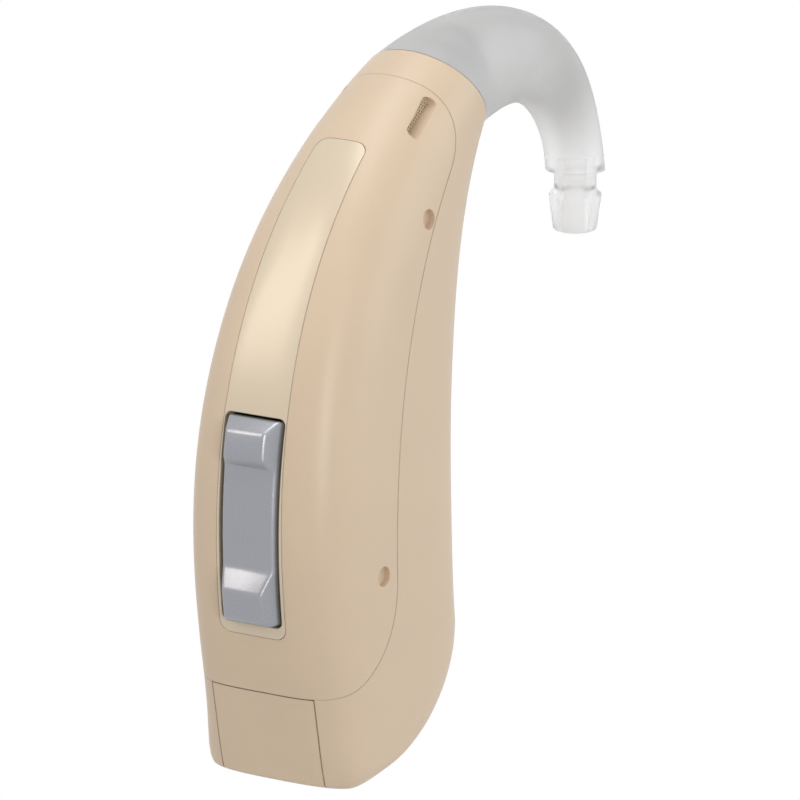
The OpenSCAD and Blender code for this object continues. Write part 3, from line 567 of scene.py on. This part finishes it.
def material(name, colour, roughness, metallic=0.0, coat=0.0, coat_roughness=0.1, transmission=0.0,
             subsurface=0.0, grain=0.0, grain_size=0.11, edge=0.0, mottle=0.0):
    """Finish of a piece; grain_size is the width of a grain and edge the radius of worn edges, in mm."""
    mat = bpy.data.materials.new(name)
    mat.use_nodes = True
    tree = mat.node_tree
    shader = tree.nodes["Principled BSDF"]
    feed(shader, {"Base Color": linear(colour), "Roughness": roughness, "Metallic": metallic,
                  "Coat Weight": coat, "Coat Roughness": coat_roughness, "Transmission Weight": transmission,
                  "Subsurface Weight": subsurface, "Subsurface Radius": [d * MM for d in SKIN_DEPTHS],
                  "Subsurface Scale": SKIN_SCALE})
    place = add_node(tree, "ShaderNodeTexCoord").outputs["Object"]
    normal = {}
    if edge:
        bevel = add_node(tree, "ShaderNodeBevel", {"Radius": edge * MM}, samples=6)
        normal = {"Normal": bevel.outputs["Normal"]}
    if grain:
        noise = add_node(tree, "ShaderNodeTexNoise", {"Vector": place, "Scale": 1 / (grain_size * MM),
                                                      "Detail": 3.0, "Roughness": 0.6}).outputs["Fac"]
        bump = add_node(tree, "ShaderNodeBump", {"Strength": grain, "Distance": GRAIN_HEIGHT * MM,
                                                 "Height": noise, **normal})
        normal = {"Normal": bump.outputs["Normal"]}
        sheen = add_node(tree, "ShaderNodeMapRange", {"Value": noise, **NOISE_RANGE,
                                                      "To Min": roughness - GRAIN_SHEEN,
                                                      "To Max": roughness + GRAIN_SHEEN})
        feed(shader, {"Roughness": sheen.outputs["Result"]})
    if mottle:
        cloud = add_node(tree, "ShaderNodeTexNoise", {"Vector": place, "Scale": 1 / (CLOUD_SIZE * MM),
                                                      "Detail": 2.0, "Roughness": 0.5}).outputs["Fac"]
        value = add_node(tree, "ShaderNodeMapRange", {"Value": cloud, **NOISE_RANGE,
                                                      "To Min": 1 - mottle, "To Max": 1 + mottle})
        tone = add_node(tree, "ShaderNodeHueSaturation", {"Color": linear(colour),
                                                          "Value": value.outputs["Result"]})
        feed(shader, {"Base Color": tone.outputs["Color"]})
    feed(shader, normal)
    return mat


MATS = {
    # moulded ABS with a fine satin grain: beige with a soft, wide shine
    # the real grain is finer, and is drawn as coarse as it needs to show
    "shell_plastic": material("beige_abs_satin", "d5bfa4", 0.38, subsurface=0.08, grain=0.25, grain_size=0.067,
                              edge=0.09, mottle=0.012),
    # pearl lacquer over a moulded plate: champagne, with a clearer streak of light than the shell
    "plate_lacquer": material("champagne_lacquer", "d2c2a8", 0.34, metallic=0.1, coat=0.5, coat_roughness=0.2,
                              edge=0.06, mottle=0.01),
    # metallic paint under satin lacquer: blue-grey, bright where a slope meets the light
    "rocker_metallic": material("blue_grey_metallic_paint", "9a9ca2", 0.3, metallic=0.7, coat=0.3,
                                coat_roughness=0.2, grain=0.06, grain_size=0.04, edge=0.12),
    # nickel-plated steel of the cell and nozzle: bright grey metal
    "steel": material("nickel_plated_steel", "c4c7cc", 0.25, metallic=1.0, grain=0.05),
    # lacquered perforated plate of the screens: the shell's colour with a dull shine
    "screen_metal": material("lacquered_screen", "c9b394", 0.45, metallic=0.15),
    # filled moulding plastic inside: dull dark grey
    "dark_plastic": material("filled_moulding_plastic", "4a4d52", 0.55, grain=0.2),
    # moulded silicone of the boots: matt near-black
    "soft_rubber": material("silicone_rubber", "242322", 0.7, grain=0.2),
    # extruded silicone tube: milky white
    "clear_silicone": material("milky_silicone_tube", "dfe2e4", 0.45, transmission=0.3),
    # moulded translucent nylon of the ear hook, graded below
    "hook_translucent": material("frosted_nylon", "f6f6f6", 0.5, transmission=0.7, edge=0.08),
    # woven damping mesh: matt grey
    "damper_mesh": material("damping_mesh", "6b6e72", 0.8),
    # deep-drawn nickel cans of microphones and receiver: satin grey metal
    "capsule_metal": material("drawn_nickel_can", "bdbdba", 0.3, metallic=1.0, grain=0.06),
    # solder mask on the board: glossy green
    "board_green": material("solder_masked_board", "2f6b46", 0.4, coat=0.3),
    # moulded epoxy of the chips: dull black
    "chip_black": material("moulded_epoxy", "232528", 0.5, grain=0.15),
    # enamelled copper of the coil: warm brown shine
    "copper_coil": material("enamelled_copper", "b06a3c", 0.35, metallic=0.9),
    # gold-plated springs and pads: clear yellow shine
    "contact_gold": material("gold_plated_spring", "d8b45a", 0.28, metallic=1.0),
    # coated steel pins: the shell's colour, without its grain
    "pin_coated": material("coated_pin_steel", "d5bfa4", 0.4),
    # moulded nylon seal of the cell: blue, half matt
    "grommet_blue": material("nylon_seal", "4c8fb8", 0.5),
}

# The thick arch of the hook looks cloudy and grey, its thin end clear and light
CLOUDY_Z = 32.5
CLEAR_Z = 26.5
HOOK_GRADES = (("Roughness", "FLOAT", 0.27, 0.5), ("Transmission Weight", "FLOAT", 0.88, 0.56),
               ("Base Color", "RGBA", linear("fcfcfc"), linear("dededd")))


def grade_hook():
    tree = MATS["hook_translucent"].node_tree
    place = add_node(tree, "ShaderNodeTexCoord")
    height = add_node(tree, "ShaderNodeSeparateXYZ", {0: place.outputs["Object"]})
    cloudy = add_node(tree, "ShaderNodeMapRange", {"Value": height.outputs["Z"], "From Min": CLEAR_Z * MM,
                                                   "From Max": CLOUDY_Z * MM}, interpolation_type="SMOOTHSTEP")
    for label, kind, at_clear, at_cloudy in HOOK_GRADES:
        blend = add_node(tree, "ShaderNodeMix", {"Factor": cloudy.outputs["Result"], "A": at_clear,
                                                 "B": at_cloudy}, data_type=kind)
        feed(tree.nodes["Principled BSDF"], {label: blend.outputs["Result"]})


grade_hook()
SLOT_OF = {row["node"]: row["material_slot"] for row in frame["record"]["subparts"]}
made_here = set()


def dress(obj, slot):
    obj.data.materials.clear()
    obj.data.materials.append(MATS[slot])


def piece(obj, node, body):
    """obj stands for a CAD node and rides on its body."""
    dress(obj, SLOT_OF[node])
    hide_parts(node)
    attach(obj, body)
    made_here.add(node)


# Housing skin, from which the four outer pieces are cut
RING = 168
LOW_STEPS = 44
LOW_CROWDING = 1.3  # the steps crowd towards the underside
RAIL_STEPS = 130
CAVITY_STEPS = 36
LIP_STEPS = 70
SEAM_STEPS = 110
RIBBON_STEPS = 80
SWING_STEPS = 60
HOOK_STEPS = 90
stations = {-1 + (i / LOW_STEPS) ** LOW_CROWDING for i in range(LOW_STEPS)}
stations |= {i / RAIL_STEPS for i in range(RAIL_STEPS + 1)} | {TOE_H / HEEL_H - 1}
master = loft("housing_master", [section_ring(s, 0, RING) for s in sorted(stations)])
skin_tree, skin_normal = skin_lookup(master)


def inner_skin(name, ends, inset, steps, count):
    """Skin of the housing moved inwards, between two shares of the rails."""
    return loft(name, [section_ring(mix(*ends, i / steps), inset, count) for i in range(steps + 1)])


def cavity():
    return inner_skin("cavity", CAVITY_ENDS, WALL, CAVITY_STEPS, 56)


def eased(a, b, steps):
    """Steps from a to b that crowd towards both ends."""
    return [mix(a, b, (1 - math.cos(math.pi * i / steps)) / 2) for i in range(steps + 1)]


SEAM_START = DOOR_TOP / HEEL_H - 1


def seam_depth(s):
    from_start = np.linalg.norm(at(s, SEAM_SHARE) - at(SEAM_START, SEAM_SHARE))
    from_end = np.linalg.norm(spine_at(s) - spine_at(SEAM_END))
    return SEAM_SHARE * depth_at(s) - edge_loss(from_start, SEAM_LOW_R) - edge_loss(from_end, SEAM_HIGH_R)


def cover_outline(shift):
    """Side outline of the cover, with its seam moved by shift towards the ear."""
    rows = eased(SEAM_START, SEAM_END, SEAM_STEPS)
    inner = [tuple(spine_at(s) + across(s) * max(seam_depth(s) + shift, 0)) for s in rows]
    outer = [tuple(spine_at(s) - across(s) * HOUSING_D / 2) for s in reversed(rows)]
    return inner + outer


def seam_lip():
    """Lip of the cover that closes the seam below the surface."""
    lip = inner_skin("seam_lip", LIP_ENDS, LIP_INSET, LIP_STEPS, 96)
    return cut(lip, band("lip_side", cover_outline(SEAM_GAP / 2 - LIP_GAP), SIDE_REACH), "INTERSECT")


SLOT_W = DOOR_W + 2 * DOOR_GAP


def cut_bay(obj):
    """Room for the cell, and for the path that it takes when the door swings."""
    swing_r = np.linalg.norm(BATTERY - HINGE) + BATTERY_D / 2 + BAY_GAP
    swing_start = math.degrees(math.atan2(BATTERY[1] - HINGE[1], -HINGE[0]))
    swing = [tuple(HINGE + along(mix(swing_start, SWING_END, i / SWING_STEPS), swing_r))
             for i in range(SWING_STEPS + 1)]
    cut(obj, cross_cylinder("bay", BATTERY, BATTERY_D / 2 + BAY_GAP, SLOT_W / 2, count=96))
    cut(obj, band("swing", [tuple(HINGE)] + swing, SLOT_W / 2))
    cut(obj, cross_cylinder("knuckle_room", HINGE, KNUCKLE_D / 2 + DOOR_GAP, SLOT_W / 2, count=72))


def door_outline(gap):
    top = DOOR_TOP - gap
    return [(-HOUSING_D, -OVERRUN), (HINGE[0], -OVERRUN), (HINGE[0], top), (-HOUSING_D, top)]


def ribbon(name, start, end, low_w, high_w, depth, r):
    """Band along the spine with round corners, from above the skin to this depth below it."""
    rings = []
    for s in eased(start, end, RIBBON_STEPS):
        up = max((s - PLATE_START) / (PLATE_END - PLATE_START), 0)
        from_end = max(min((s - start) * spine_speed(start), (end - s) * spine_speed(end)), 0)
        w = mix(low_w, high_w, up ** PLATE_TAPER) / 2 - edge_loss(from_end, r)
        high, low = off_spine(s, OVERRUN), off_spine(s, -depth)
        rings.append([(x, y, z) for (x, z), y in ((high, -w), (low, -w), (low, w), (high, w))])
    return loft(name, rings)


def plate_space():
    return ribbon("plate_space", shift_s(PLATE_START, -PLATE_GAP), shift_s(PLATE_END, PLATE_GAP),
                  PLATE_W + 2 * PLATE_GAP, PLATE_TOP_W + 2 * PLATE_GAP, PLATE_T + PLATE_GAP, PLATE_R)


def rocker_space():
    width = ROCKER_W + 2 * ROCKER_GAP
    return ribbon("rocker_space", OPEN_START, OPEN_END, width, width, OPEN_DEPTH, OPEN_R)


# The slots run along the skin, and are cut straight in from the side
def port_point(s):
    return np.array(section_point(section(s), *along(PORT_ANGLE)))


PORT_MID = port_point(PORT_S)
PORT_RUN = port_point(PORT_S + PORT_STEP) - port_point(PORT_S - PORT_STEP)
PORT_TILT = math.degrees(math.atan2(PORT_RUN[2], PORT_RUN[0]))


def port_outline():
    return [tuple(PORT_MID[[0, 2]] + along(PORT_TILT, x) + along(PORT_TILT + 90, y))
            for x, y in round_ends(PORT_L, PORT_W)]


PIVOT = off_spine(PIVOT_S, -PIVOT_DEPTH)


def back_cover():
    back = copy_of(master, "back_shell")
    cut(back, band("cover_side", cover_outline(-SEAM_GAP / 2), SIDE_REACH), "INTERSECT")
    cut(back, seam_lip(), "UNION")
    cut(back, cavity())
    cut_bay(back)
    cut(back, plate_space())
    cut(back, rocker_space())
    for start, half in (SWITCH_ROOM, CARRIER_EARS_ROOM):
        room = box_outline(PIVOT, -spine_out(PIVOT_S), start, ROOM_DEPTH, half)
        cut(back, band("rocker_room", room, ROOM_HALF_W))
    for side in (-1, 1):
        cut(back, prism("port", port_outline(), *sorted((side * PORT_FLOOR, side * HOUSING_W / 2))))
    for pin in (LOWER_PIN, UPPER_PIN):
        cut(back, cross_cylinder("pin_hole", at(*pin), PIN_HOLE_R, SIDE_REACH))
    return smooth_skin(back)


def front_housing():
    front = copy_of(master, "front_shell")
    cut(front, band("cover_side", cover_outline(SEAM_GAP / 2), SIDE_REACH))
    cut(front, cavity())
    cut_bay(front)
    cut(front, band("door_slot", door_outline(0), SLOT_W / 2))
    cut(front, cross_cylinder("hinge_bore", HINGE, HINGE_PIN_D / 2, HINGE_HALF_W))
    outwards = -turned(unit(bezier_slope(EAR, PROGRAM_S)))
    opening = box_outline(bezier(EAR, PROGRAM_S), outwards, -PROGRAM_DEPTH, 2 * OVERRUN, PROGRAM_HALF_H)
    cut(front, band("program_room", opening, PROGRAM_HALF_W))
    cut(front, nozzle_cylinder("nozzle_bore", NOZZLE_R, -FLANGE_BACK, OVERRUN))
    cut(front, nozzle_cylinder("flange_room", FLANGE_R, -FLANGE_BACK, -FLANGE_FRONT))
    return smooth_skin(front)


def control_plate():
    plate = copy_of(master, "control_plate_lacquered")
    kept = ribbon("plate_band", PLATE_START, PLATE_END, PLATE_W, PLATE_TOP_W, PLATE_T, PLATE_R)
    cut(plate, kept, "INTERSECT")
    cut(plate, rocker_space())
    return smooth_skin(plate)


def battery_door():
    """Door with its curved skin, hollowed for the cell, and its knuckle round the hinge pin."""
    door = copy_of(master, "battery_door_shell")
    cut(door, band("door_band", door_outline(SEAM_GAP), DOOR_W / 2), "INTERSECT")
    behind = HINGE[0] - KNUCKLE_D / 2 - DOOR_GAP
    cut(door, band("door_end", [(behind, HINGE[1]), (FAR, HINGE[1]), (FAR, FAR), (behind, FAR)], SIDE_REACH))
    cut(door, cross_cylinder("knuckle", HINGE, KNUCKLE_D / 2, DOOR_W / 2, count=72), "UNION")
    cut(door, cross_cylinder("cell_room", BATTERY, BATTERY_D / 2 + CELL_GAP, SIDE_REACH, count=120))
    cut(door, cross_cylinder("knuckle_bore", HINGE, HINGE_PIN_D / 2 + HINGE_PLAY, SIDE_REACH))
    return smooth_skin(door)


def rocker_ring(share, rise_share):
    s = mix(shift_s(OPEN_START, ROCKER_GAP), shift_s(OPEN_END, -ROCKER_GAP), share)
    rise = mix(WAIST_RISE, PAD_RISE, rise_share)
    wide = ROCKER_W / 2
    narrow = wide - ROCKER_LEAN * (rise + ROCKER_SHOULDER)
    high, middle, low = (off_spine(s, h) for h in (rise, -ROCKER_SHOULDER, -ROCKER_DEPTH))
    corners = ((high, -narrow), (middle, -wide), (low, -wide), (low, wide), (middle, wide), (high, narrow))
    return [(x, y, z) for (x, z), y in corners]


def rocker():
    """Tapered sections between the rocker's ends, with its ridges rounded by a bevel."""
    cap = loft("rocker_cap", [rocker_ring(*row) for row in ROCKER_PROFILE])
    bevel = cap.modifiers.new("edge", "BEVEL")
    bevel.width, bevel.segments = ROCKER_EDGE * MM, ROCKER_EDGE_STEPS
    bevel.limit_method, bevel.angle_limit = "ANGLE", math.radians(ROCKER_RIDGE)
    apply_modifiers(cap)
    cut(cap, cross_cylinder("boss", PIVOT, BOSS_R, ROCKER_W / 2), "UNION")
    cut(cap, cross_cylinder("pivot_bore", PIVOT, PIVOT_BORE_R, SIDE_REACH))
    return angle_smooth(cap, ROCKER_CREASE)


def hook_ring(t):
    a, b = bezier(HOOK_OUT, t), bezier(HOOK_IN, t)
    reach, middle = (b - a) / 2, (a + b) / 2
    wide = np.linalg.norm(reach) * mix(half_w(1) / (SEAT_D / 2), 1, min(t / HOOK_WIDE_SHARE, 1))
    return [(middle[0] + reach[0] * c, wide * q, middle[1] + reach[1] * c) for c, q in circle(96)]


def ear_hook():
    """Hollow hook with its barbed nipple, the socket for the nozzle and the room for the damper."""
    rings = [hook_ring(mix(HOOK_START, 1, i / HOOK_STEPS)) for i in range(HOOK_STEPS + 1)]
    hook = loft("ear_hook_frosted", rings)
    cut(hook, turned_down("nipple", TIP, NIPPLE), "UNION")
    cut(hook, nozzle_cylinder("socket", SOCKET_R, -OVERRUN, SOCKET_L))
    cut(hook, nozzle_cylinder("damper_room", DAMPER_R, DAMPER_START, DAMPER_END))
    start = SEAT_MID + NOZZLE * BORE_START
    path = [start, start + NOZZLE * HOOK_REACH * BORE_PULL[0], TIP + [0, HOOK_REACH * BORE_PULL[1]],
            TIP - [0, JOIN / 2]]
    cut(hook, tube("bore", path, BORE_R))
    cut(hook, turned_down("bore_end", TIP, ((BORE_R, -JOIN), (BORE_R, BORE_END)), count=28))
    return angle_smooth(hook, HOOK_CREASE)


for build, node, body in ((back_cover, "back_cover", "housing"), (front_housing, "front_housing", "housing"),
                          (control_plate, "control_plate", "housing"),
                          (battery_door, "battery_door", "battery_drawer"),
                          (rocker, "rocker", "rocker"), (ear_hook, "ear_hook", "hook")):
    piece(build(), node, body)
bpy.data.objects.remove(master)


# Microphone screens: a plate that Geometry Nodes perforate, with a near-black sheet behind it, painted shade of
# the port's inside that darkens the holes
def screen_tree():
    """Drills rows of holes through a plate, with every other row set over by half a pitch."""
    tree = bpy.data.node_groups.new("screen_perforation", "GeometryNodeTree")
    for label, kind in (("Geometry", "Geometry"), ("Hole Diameter", "Float"), ("Pitch", "Float"),
                        ("Depth", "Float"), ("Columns", "Int"), ("Rows", "Int"), ("Material", "Material")):
        tree.interface.new_socket(label, in_out="INPUT", socket_type="NodeSocket" + kind)
    tree.interface.new_socket("Geometry", in_out="OUTPUT", socket_type="NodeSocketGeometry")
    given = add_node(tree, "NodeGroupInput").outputs
    spans = []
    for label in ("Columns", "Rows"):
        steps = add_node(tree, "ShaderNodeMath", {0: given[label], 1: 1}, operation="SUBTRACT")
        span = add_node(tree, "ShaderNodeMath", {0: steps.outputs[0], 1: given["Pitch"]}, operation="MULTIPLY")
        spans.append(span.outputs[0])
    grid = add_node(tree, "GeometryNodeMeshGrid", {"Size X": spans[0], "Size Y": spans[1],
                                                   "Vertices X": given["Columns"], "Vertices Y": given["Rows"]})
    place = add_node(tree, "GeometryNodeInputPosition")
    split = add_node(tree, "ShaderNodeSeparateXYZ", {0: place.outputs[0]})
    off_middle = add_node(tree, "ShaderNodeMath", {0: split.outputs["Y"]}, operation="ABSOLUTE")
    quarter = add_node(tree, "ShaderNodeMath", {0: given["Pitch"], 1: -0.25}, operation="MULTIPLY")
    stagger = add_node(tree, "ShaderNodeMath", {0: off_middle.outputs[0], 1: 0.5, 2: quarter.outputs[0]},
                       operation="MULTIPLY_ADD")
    offset = add_node(tree, "ShaderNodeCombineXYZ", {"X": stagger.outputs[0]})
    points = add_node(tree, "GeometryNodeSetPosition", {"Geometry": grid.outputs["Mesh"],
                                                        "Offset": offset.outputs[0]})
    radius = add_node(tree, "ShaderNodeMath", {0: given["Hole Diameter"], 1: 2}, operation="DIVIDE")
    drill = add_node(tree, "GeometryNodeMeshCylinder", {"Vertices": 12, "Radius": radius.outputs[0],
                                                        "Depth": given["Depth"]})
    drills = add_node(tree, "GeometryNodeInstanceOnPoints", {"Points": points.outputs[0],
                                                             "Instance": drill.outputs["Mesh"]})
    real = add_node(tree, "GeometryNodeRealizeInstances", {0: drills.outputs[0]})
    drilled = add_node(tree, "GeometryNodeMeshBoolean", operation="DIFFERENCE", solver="MANIFOLD",
                       inputs={"Mesh 1": given["Geometry"], "Mesh 2": real.outputs[0]})
    lacquered = add_node(tree, "GeometryNodeSetMaterial", {"Geometry": drilled.outputs["Mesh"],
                                                           "Material": given["Material"]})
    add_node(tree, "NodeGroupOutput", {0: lacquered.outputs[0]})
    return tree


def perforate(screen, tree):
    mod = screen.modifiers.new("perforation", "NODES")
    mod.node_group = tree
    ids = {i.name: i.identifier for i in tree.interface.items_tree if i.in_out == "INPUT"}
    for key, value in (("Hole Diameter", HOLE_D * MM), ("Pitch", HOLE_PITCH * MM), ("Depth", 2 * SCREEN_T * MM),
                       ("Columns", HOLE_COLUMNS), ("Rows", HOLE_ROWS), ("Material", MATS["screen_metal"])):
        mod[ids[key]] = value
    apply_modifiers(screen)


def flat_plate(name, gap, thickness):
    """Flat plate with the slot's outline less a gap all round, about its own middle."""
    pts = round_ends(PORT_L - 2 * gap, PORT_W - 2 * gap)
    n = len(pts)
    verts = [(x * MM, y * MM, h * MM) for h in (-thickness / 2, thickness / 2) for x, y in pts]
    faces = [tuple(range(n - 1, -1, -1)), tuple(range(n, 2 * n))]
    faces += [(j, (j + 1) % n, n + (j + 1) % n, n + j) for j in range(n)]
    return link_mesh(name, verts, faces)


def into_port(obj, side, depth):
    """Turns a flat plate into the slot on one side, with its middle at this depth below the skin."""
    c, q = along(PORT_TILT)
    for v in obj.data.vertices:
        x, z, out = v.co
        v.co = ((PORT_MID[0] + SHIFT) * MM + c * x - q * z, side * ((PORT_MID[1] - depth) * MM + out),
                PORT_MID[2] * MM + q * x + c * z)
    if side > 0:
        obj.data.flip_normals()
    obj.data.update()


perforation = screen_tree()
for side, label in ((1, "left"), (-1, "right")):
    screen = flat_plate("screen_" + label, SCREEN_GAP, SCREEN_T)
    perforate(screen, perforation)
    into_port(screen, side, SCREEN_SHIFT + SCREEN_T / 2)
    piece(screen, "microphone_screen_" + label, "housing")
    # Near-black sheet behind the screen, painted shade that makes the holes look dark
    shade_sheet = flat_plate("shade_sheet_" + label, SHADE_SHEET_GAP, SHADE_SHEET_T)
    into_port(shade_sheet, side, SCREEN_SHIFT + SCREEN_T + SHADE_SHEET_GAP)
    dress(shade_sheet, "soft_rubber")
    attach(shade_sheet, "housing")

# Every other CAD piece keeps its shape and gets its material
for name, node in frame["nodes"].items():
    if name not in made_here:
        dress(node, SLOT_OF[name])

# Stage, light and camera, in metres
scene = bpy.context.scene
scene.view_settings.view_transform = "Standard"
scene.render.film_transparent = False
SKY_COLOUR = (0.95, 0.97, 1.0, 1)
SKY_STRENGTH = 0.6
FLOOR_REACH = 0.6
FLOOR_DROP = 0.012  # the open door swings below the aid
FLOOR_COLOUR = (0.5, 0.5, 0.5, 1)
WHITE = (1, 1, 1, 1)


def plain_white(tree, lit, white):
    """White to the camera, to a mirror image and through the clear hook, and otherwise as lit."""
    path = add_node(tree, "ShaderNodeLightPath").outputs
    seen = path["Is Camera Ray"]
    for kind in ("Is Glossy Ray", "Is Transmission Ray"):
        either = add_node(tree, "ShaderNodeMath", {0: seen, 1: path[kind]}, operation="ADD", use_clamp=True)
        seen = either.outputs[0]
    return add_node(tree, "ShaderNodeMixShader", {0: seen, 1: lit.outputs[0], 2: white.outputs[0]}).outputs[0]


def studio_world():
    world = bpy.data.worlds.new("studio")
    world.use_nodes = True
    tree = world.node_tree
    sky = tree.nodes["Background"]
    feed(sky, {"Color": SKY_COLOUR, "Strength": SKY_STRENGTH})
    white = add_node(tree, "ShaderNodeBackground", {"Color": WHITE, "Strength": 1.0})
    feed(tree.nodes["World Output"], {"Surface": plain_white(tree, sky, white)})
    return world


def studio_floor():
    """White floor that a view from below looks through."""
    corners = [(x * FLOOR_REACH, y * FLOOR_REACH, -FLOOR_DROP) for x, y in ((-1, -1), (1, -1), (1, 1), (-1, 1))]
    floor = link_mesh("floor", corners, [(0, 1, 2, 3)])
    mat = bpy.data.materials.new("studio_floor")
    mat.use_nodes = True
    tree = mat.node_tree
    paper = tree.nodes["Principled BSDF"]
    feed(paper, {"Base Color": FLOOR_COLOUR, "Roughness": 0.9})
    glow = add_node(tree, "ShaderNodeEmission", {"Color": WHITE, "Strength": 1.0})
    facing = add_node(tree, "ShaderNodeNewGeometry")
    clear = add_node(tree, "ShaderNodeBsdfTransparent")
    one_sided = add_node(tree, "ShaderNodeMixShader", {0: facing.outputs["Backfacing"],
                                                       1: plain_white(tree, paper, glow), 2: clear.outputs[0]})
    feed(tree.nodes["Material Output"], {"Surface": one_sided.outputs[0]})
    floor.data.materials.append(mat)
    return floor


scene.world = studio_world()
studio_floor()

CAMERA_AZIMUTH = 214
CAMERA_ELEVATION = 14
CAMERA_DISTANCE = 0.4
LENS = 363.6
FRAME_SHIFT = (0.0785, -0.0475)
AIM = (1.6, 20.35)  # X and Z that the camera looks at, in the mm of the part's source
TARGET = Vector(((AIM[0] + SHIFT) * MM, 0, AIM[1] * MM))
level, height = along(CAMERA_ELEVATION)
TO_CAMERA = Vector((*along(CAMERA_AZIMUTH, level), height))
RIGHT = Vector((0, 0, 1)).cross(TO_CAMERA).normalized()
UP = TO_CAMERA.cross(RIGHT)


def softbox(name, place, width, height, power, colour=(1, 1, 1)):
    """Lamp that faces the aid; its place is to the right of it, above it and towards the camera."""
    light = bpy.data.lights.new("softbox_" + name, "AREA")
    light.shape, light.size, light.size_y = "RECTANGLE", width, height
    light.energy, light.color = power, colour
    obj = bpy.data.objects.new("softbox_" + name, light)
    scene.collection.objects.link(obj)
    obj.location = TARGET + RIGHT * place[0] + UP * place[1] + TO_CAMERA * place[2]
    obj.rotation_mode = "QUATERNION"
    obj.rotation_quaternion = (obj.location - TARGET).to_track_quat("Z", "Y")


softbox("front", (0.15, -0.09, 0.35), 0.12, 0.30, 0.72, (1.0, 0.98, 0.97))
softbox("left", (-0.31, 0.19, 0.14), 0.08, 0.26, 0.28, (1.0, 0.9, 0.81))
softbox("top", (-0.02, 0.36, 0.10), 0.30, 0.16, 0.5)
softbox("right", (0.36, 0.05, -0.02), 0.16, 0.34, 0.3)

camera = bpy.data.objects.new("camera", bpy.data.cameras.new("camera"))
scene.collection.objects.link(camera)
camera.location = TARGET + TO_CAMERA * CAMERA_DISTANCE
camera.rotation_mode = "QUATERNION"
camera.rotation_quaternion = TO_CAMERA.to_track_quat("Z", "Y")
camera.data.sensor_width = 36
camera.data.lens = LENS
camera.data.shift_x, camera.data.shift_y = FRAME_SHIFT
camera.data.clip_start, camera.data.clip_end = 0.01, 5
scene.camera = camera
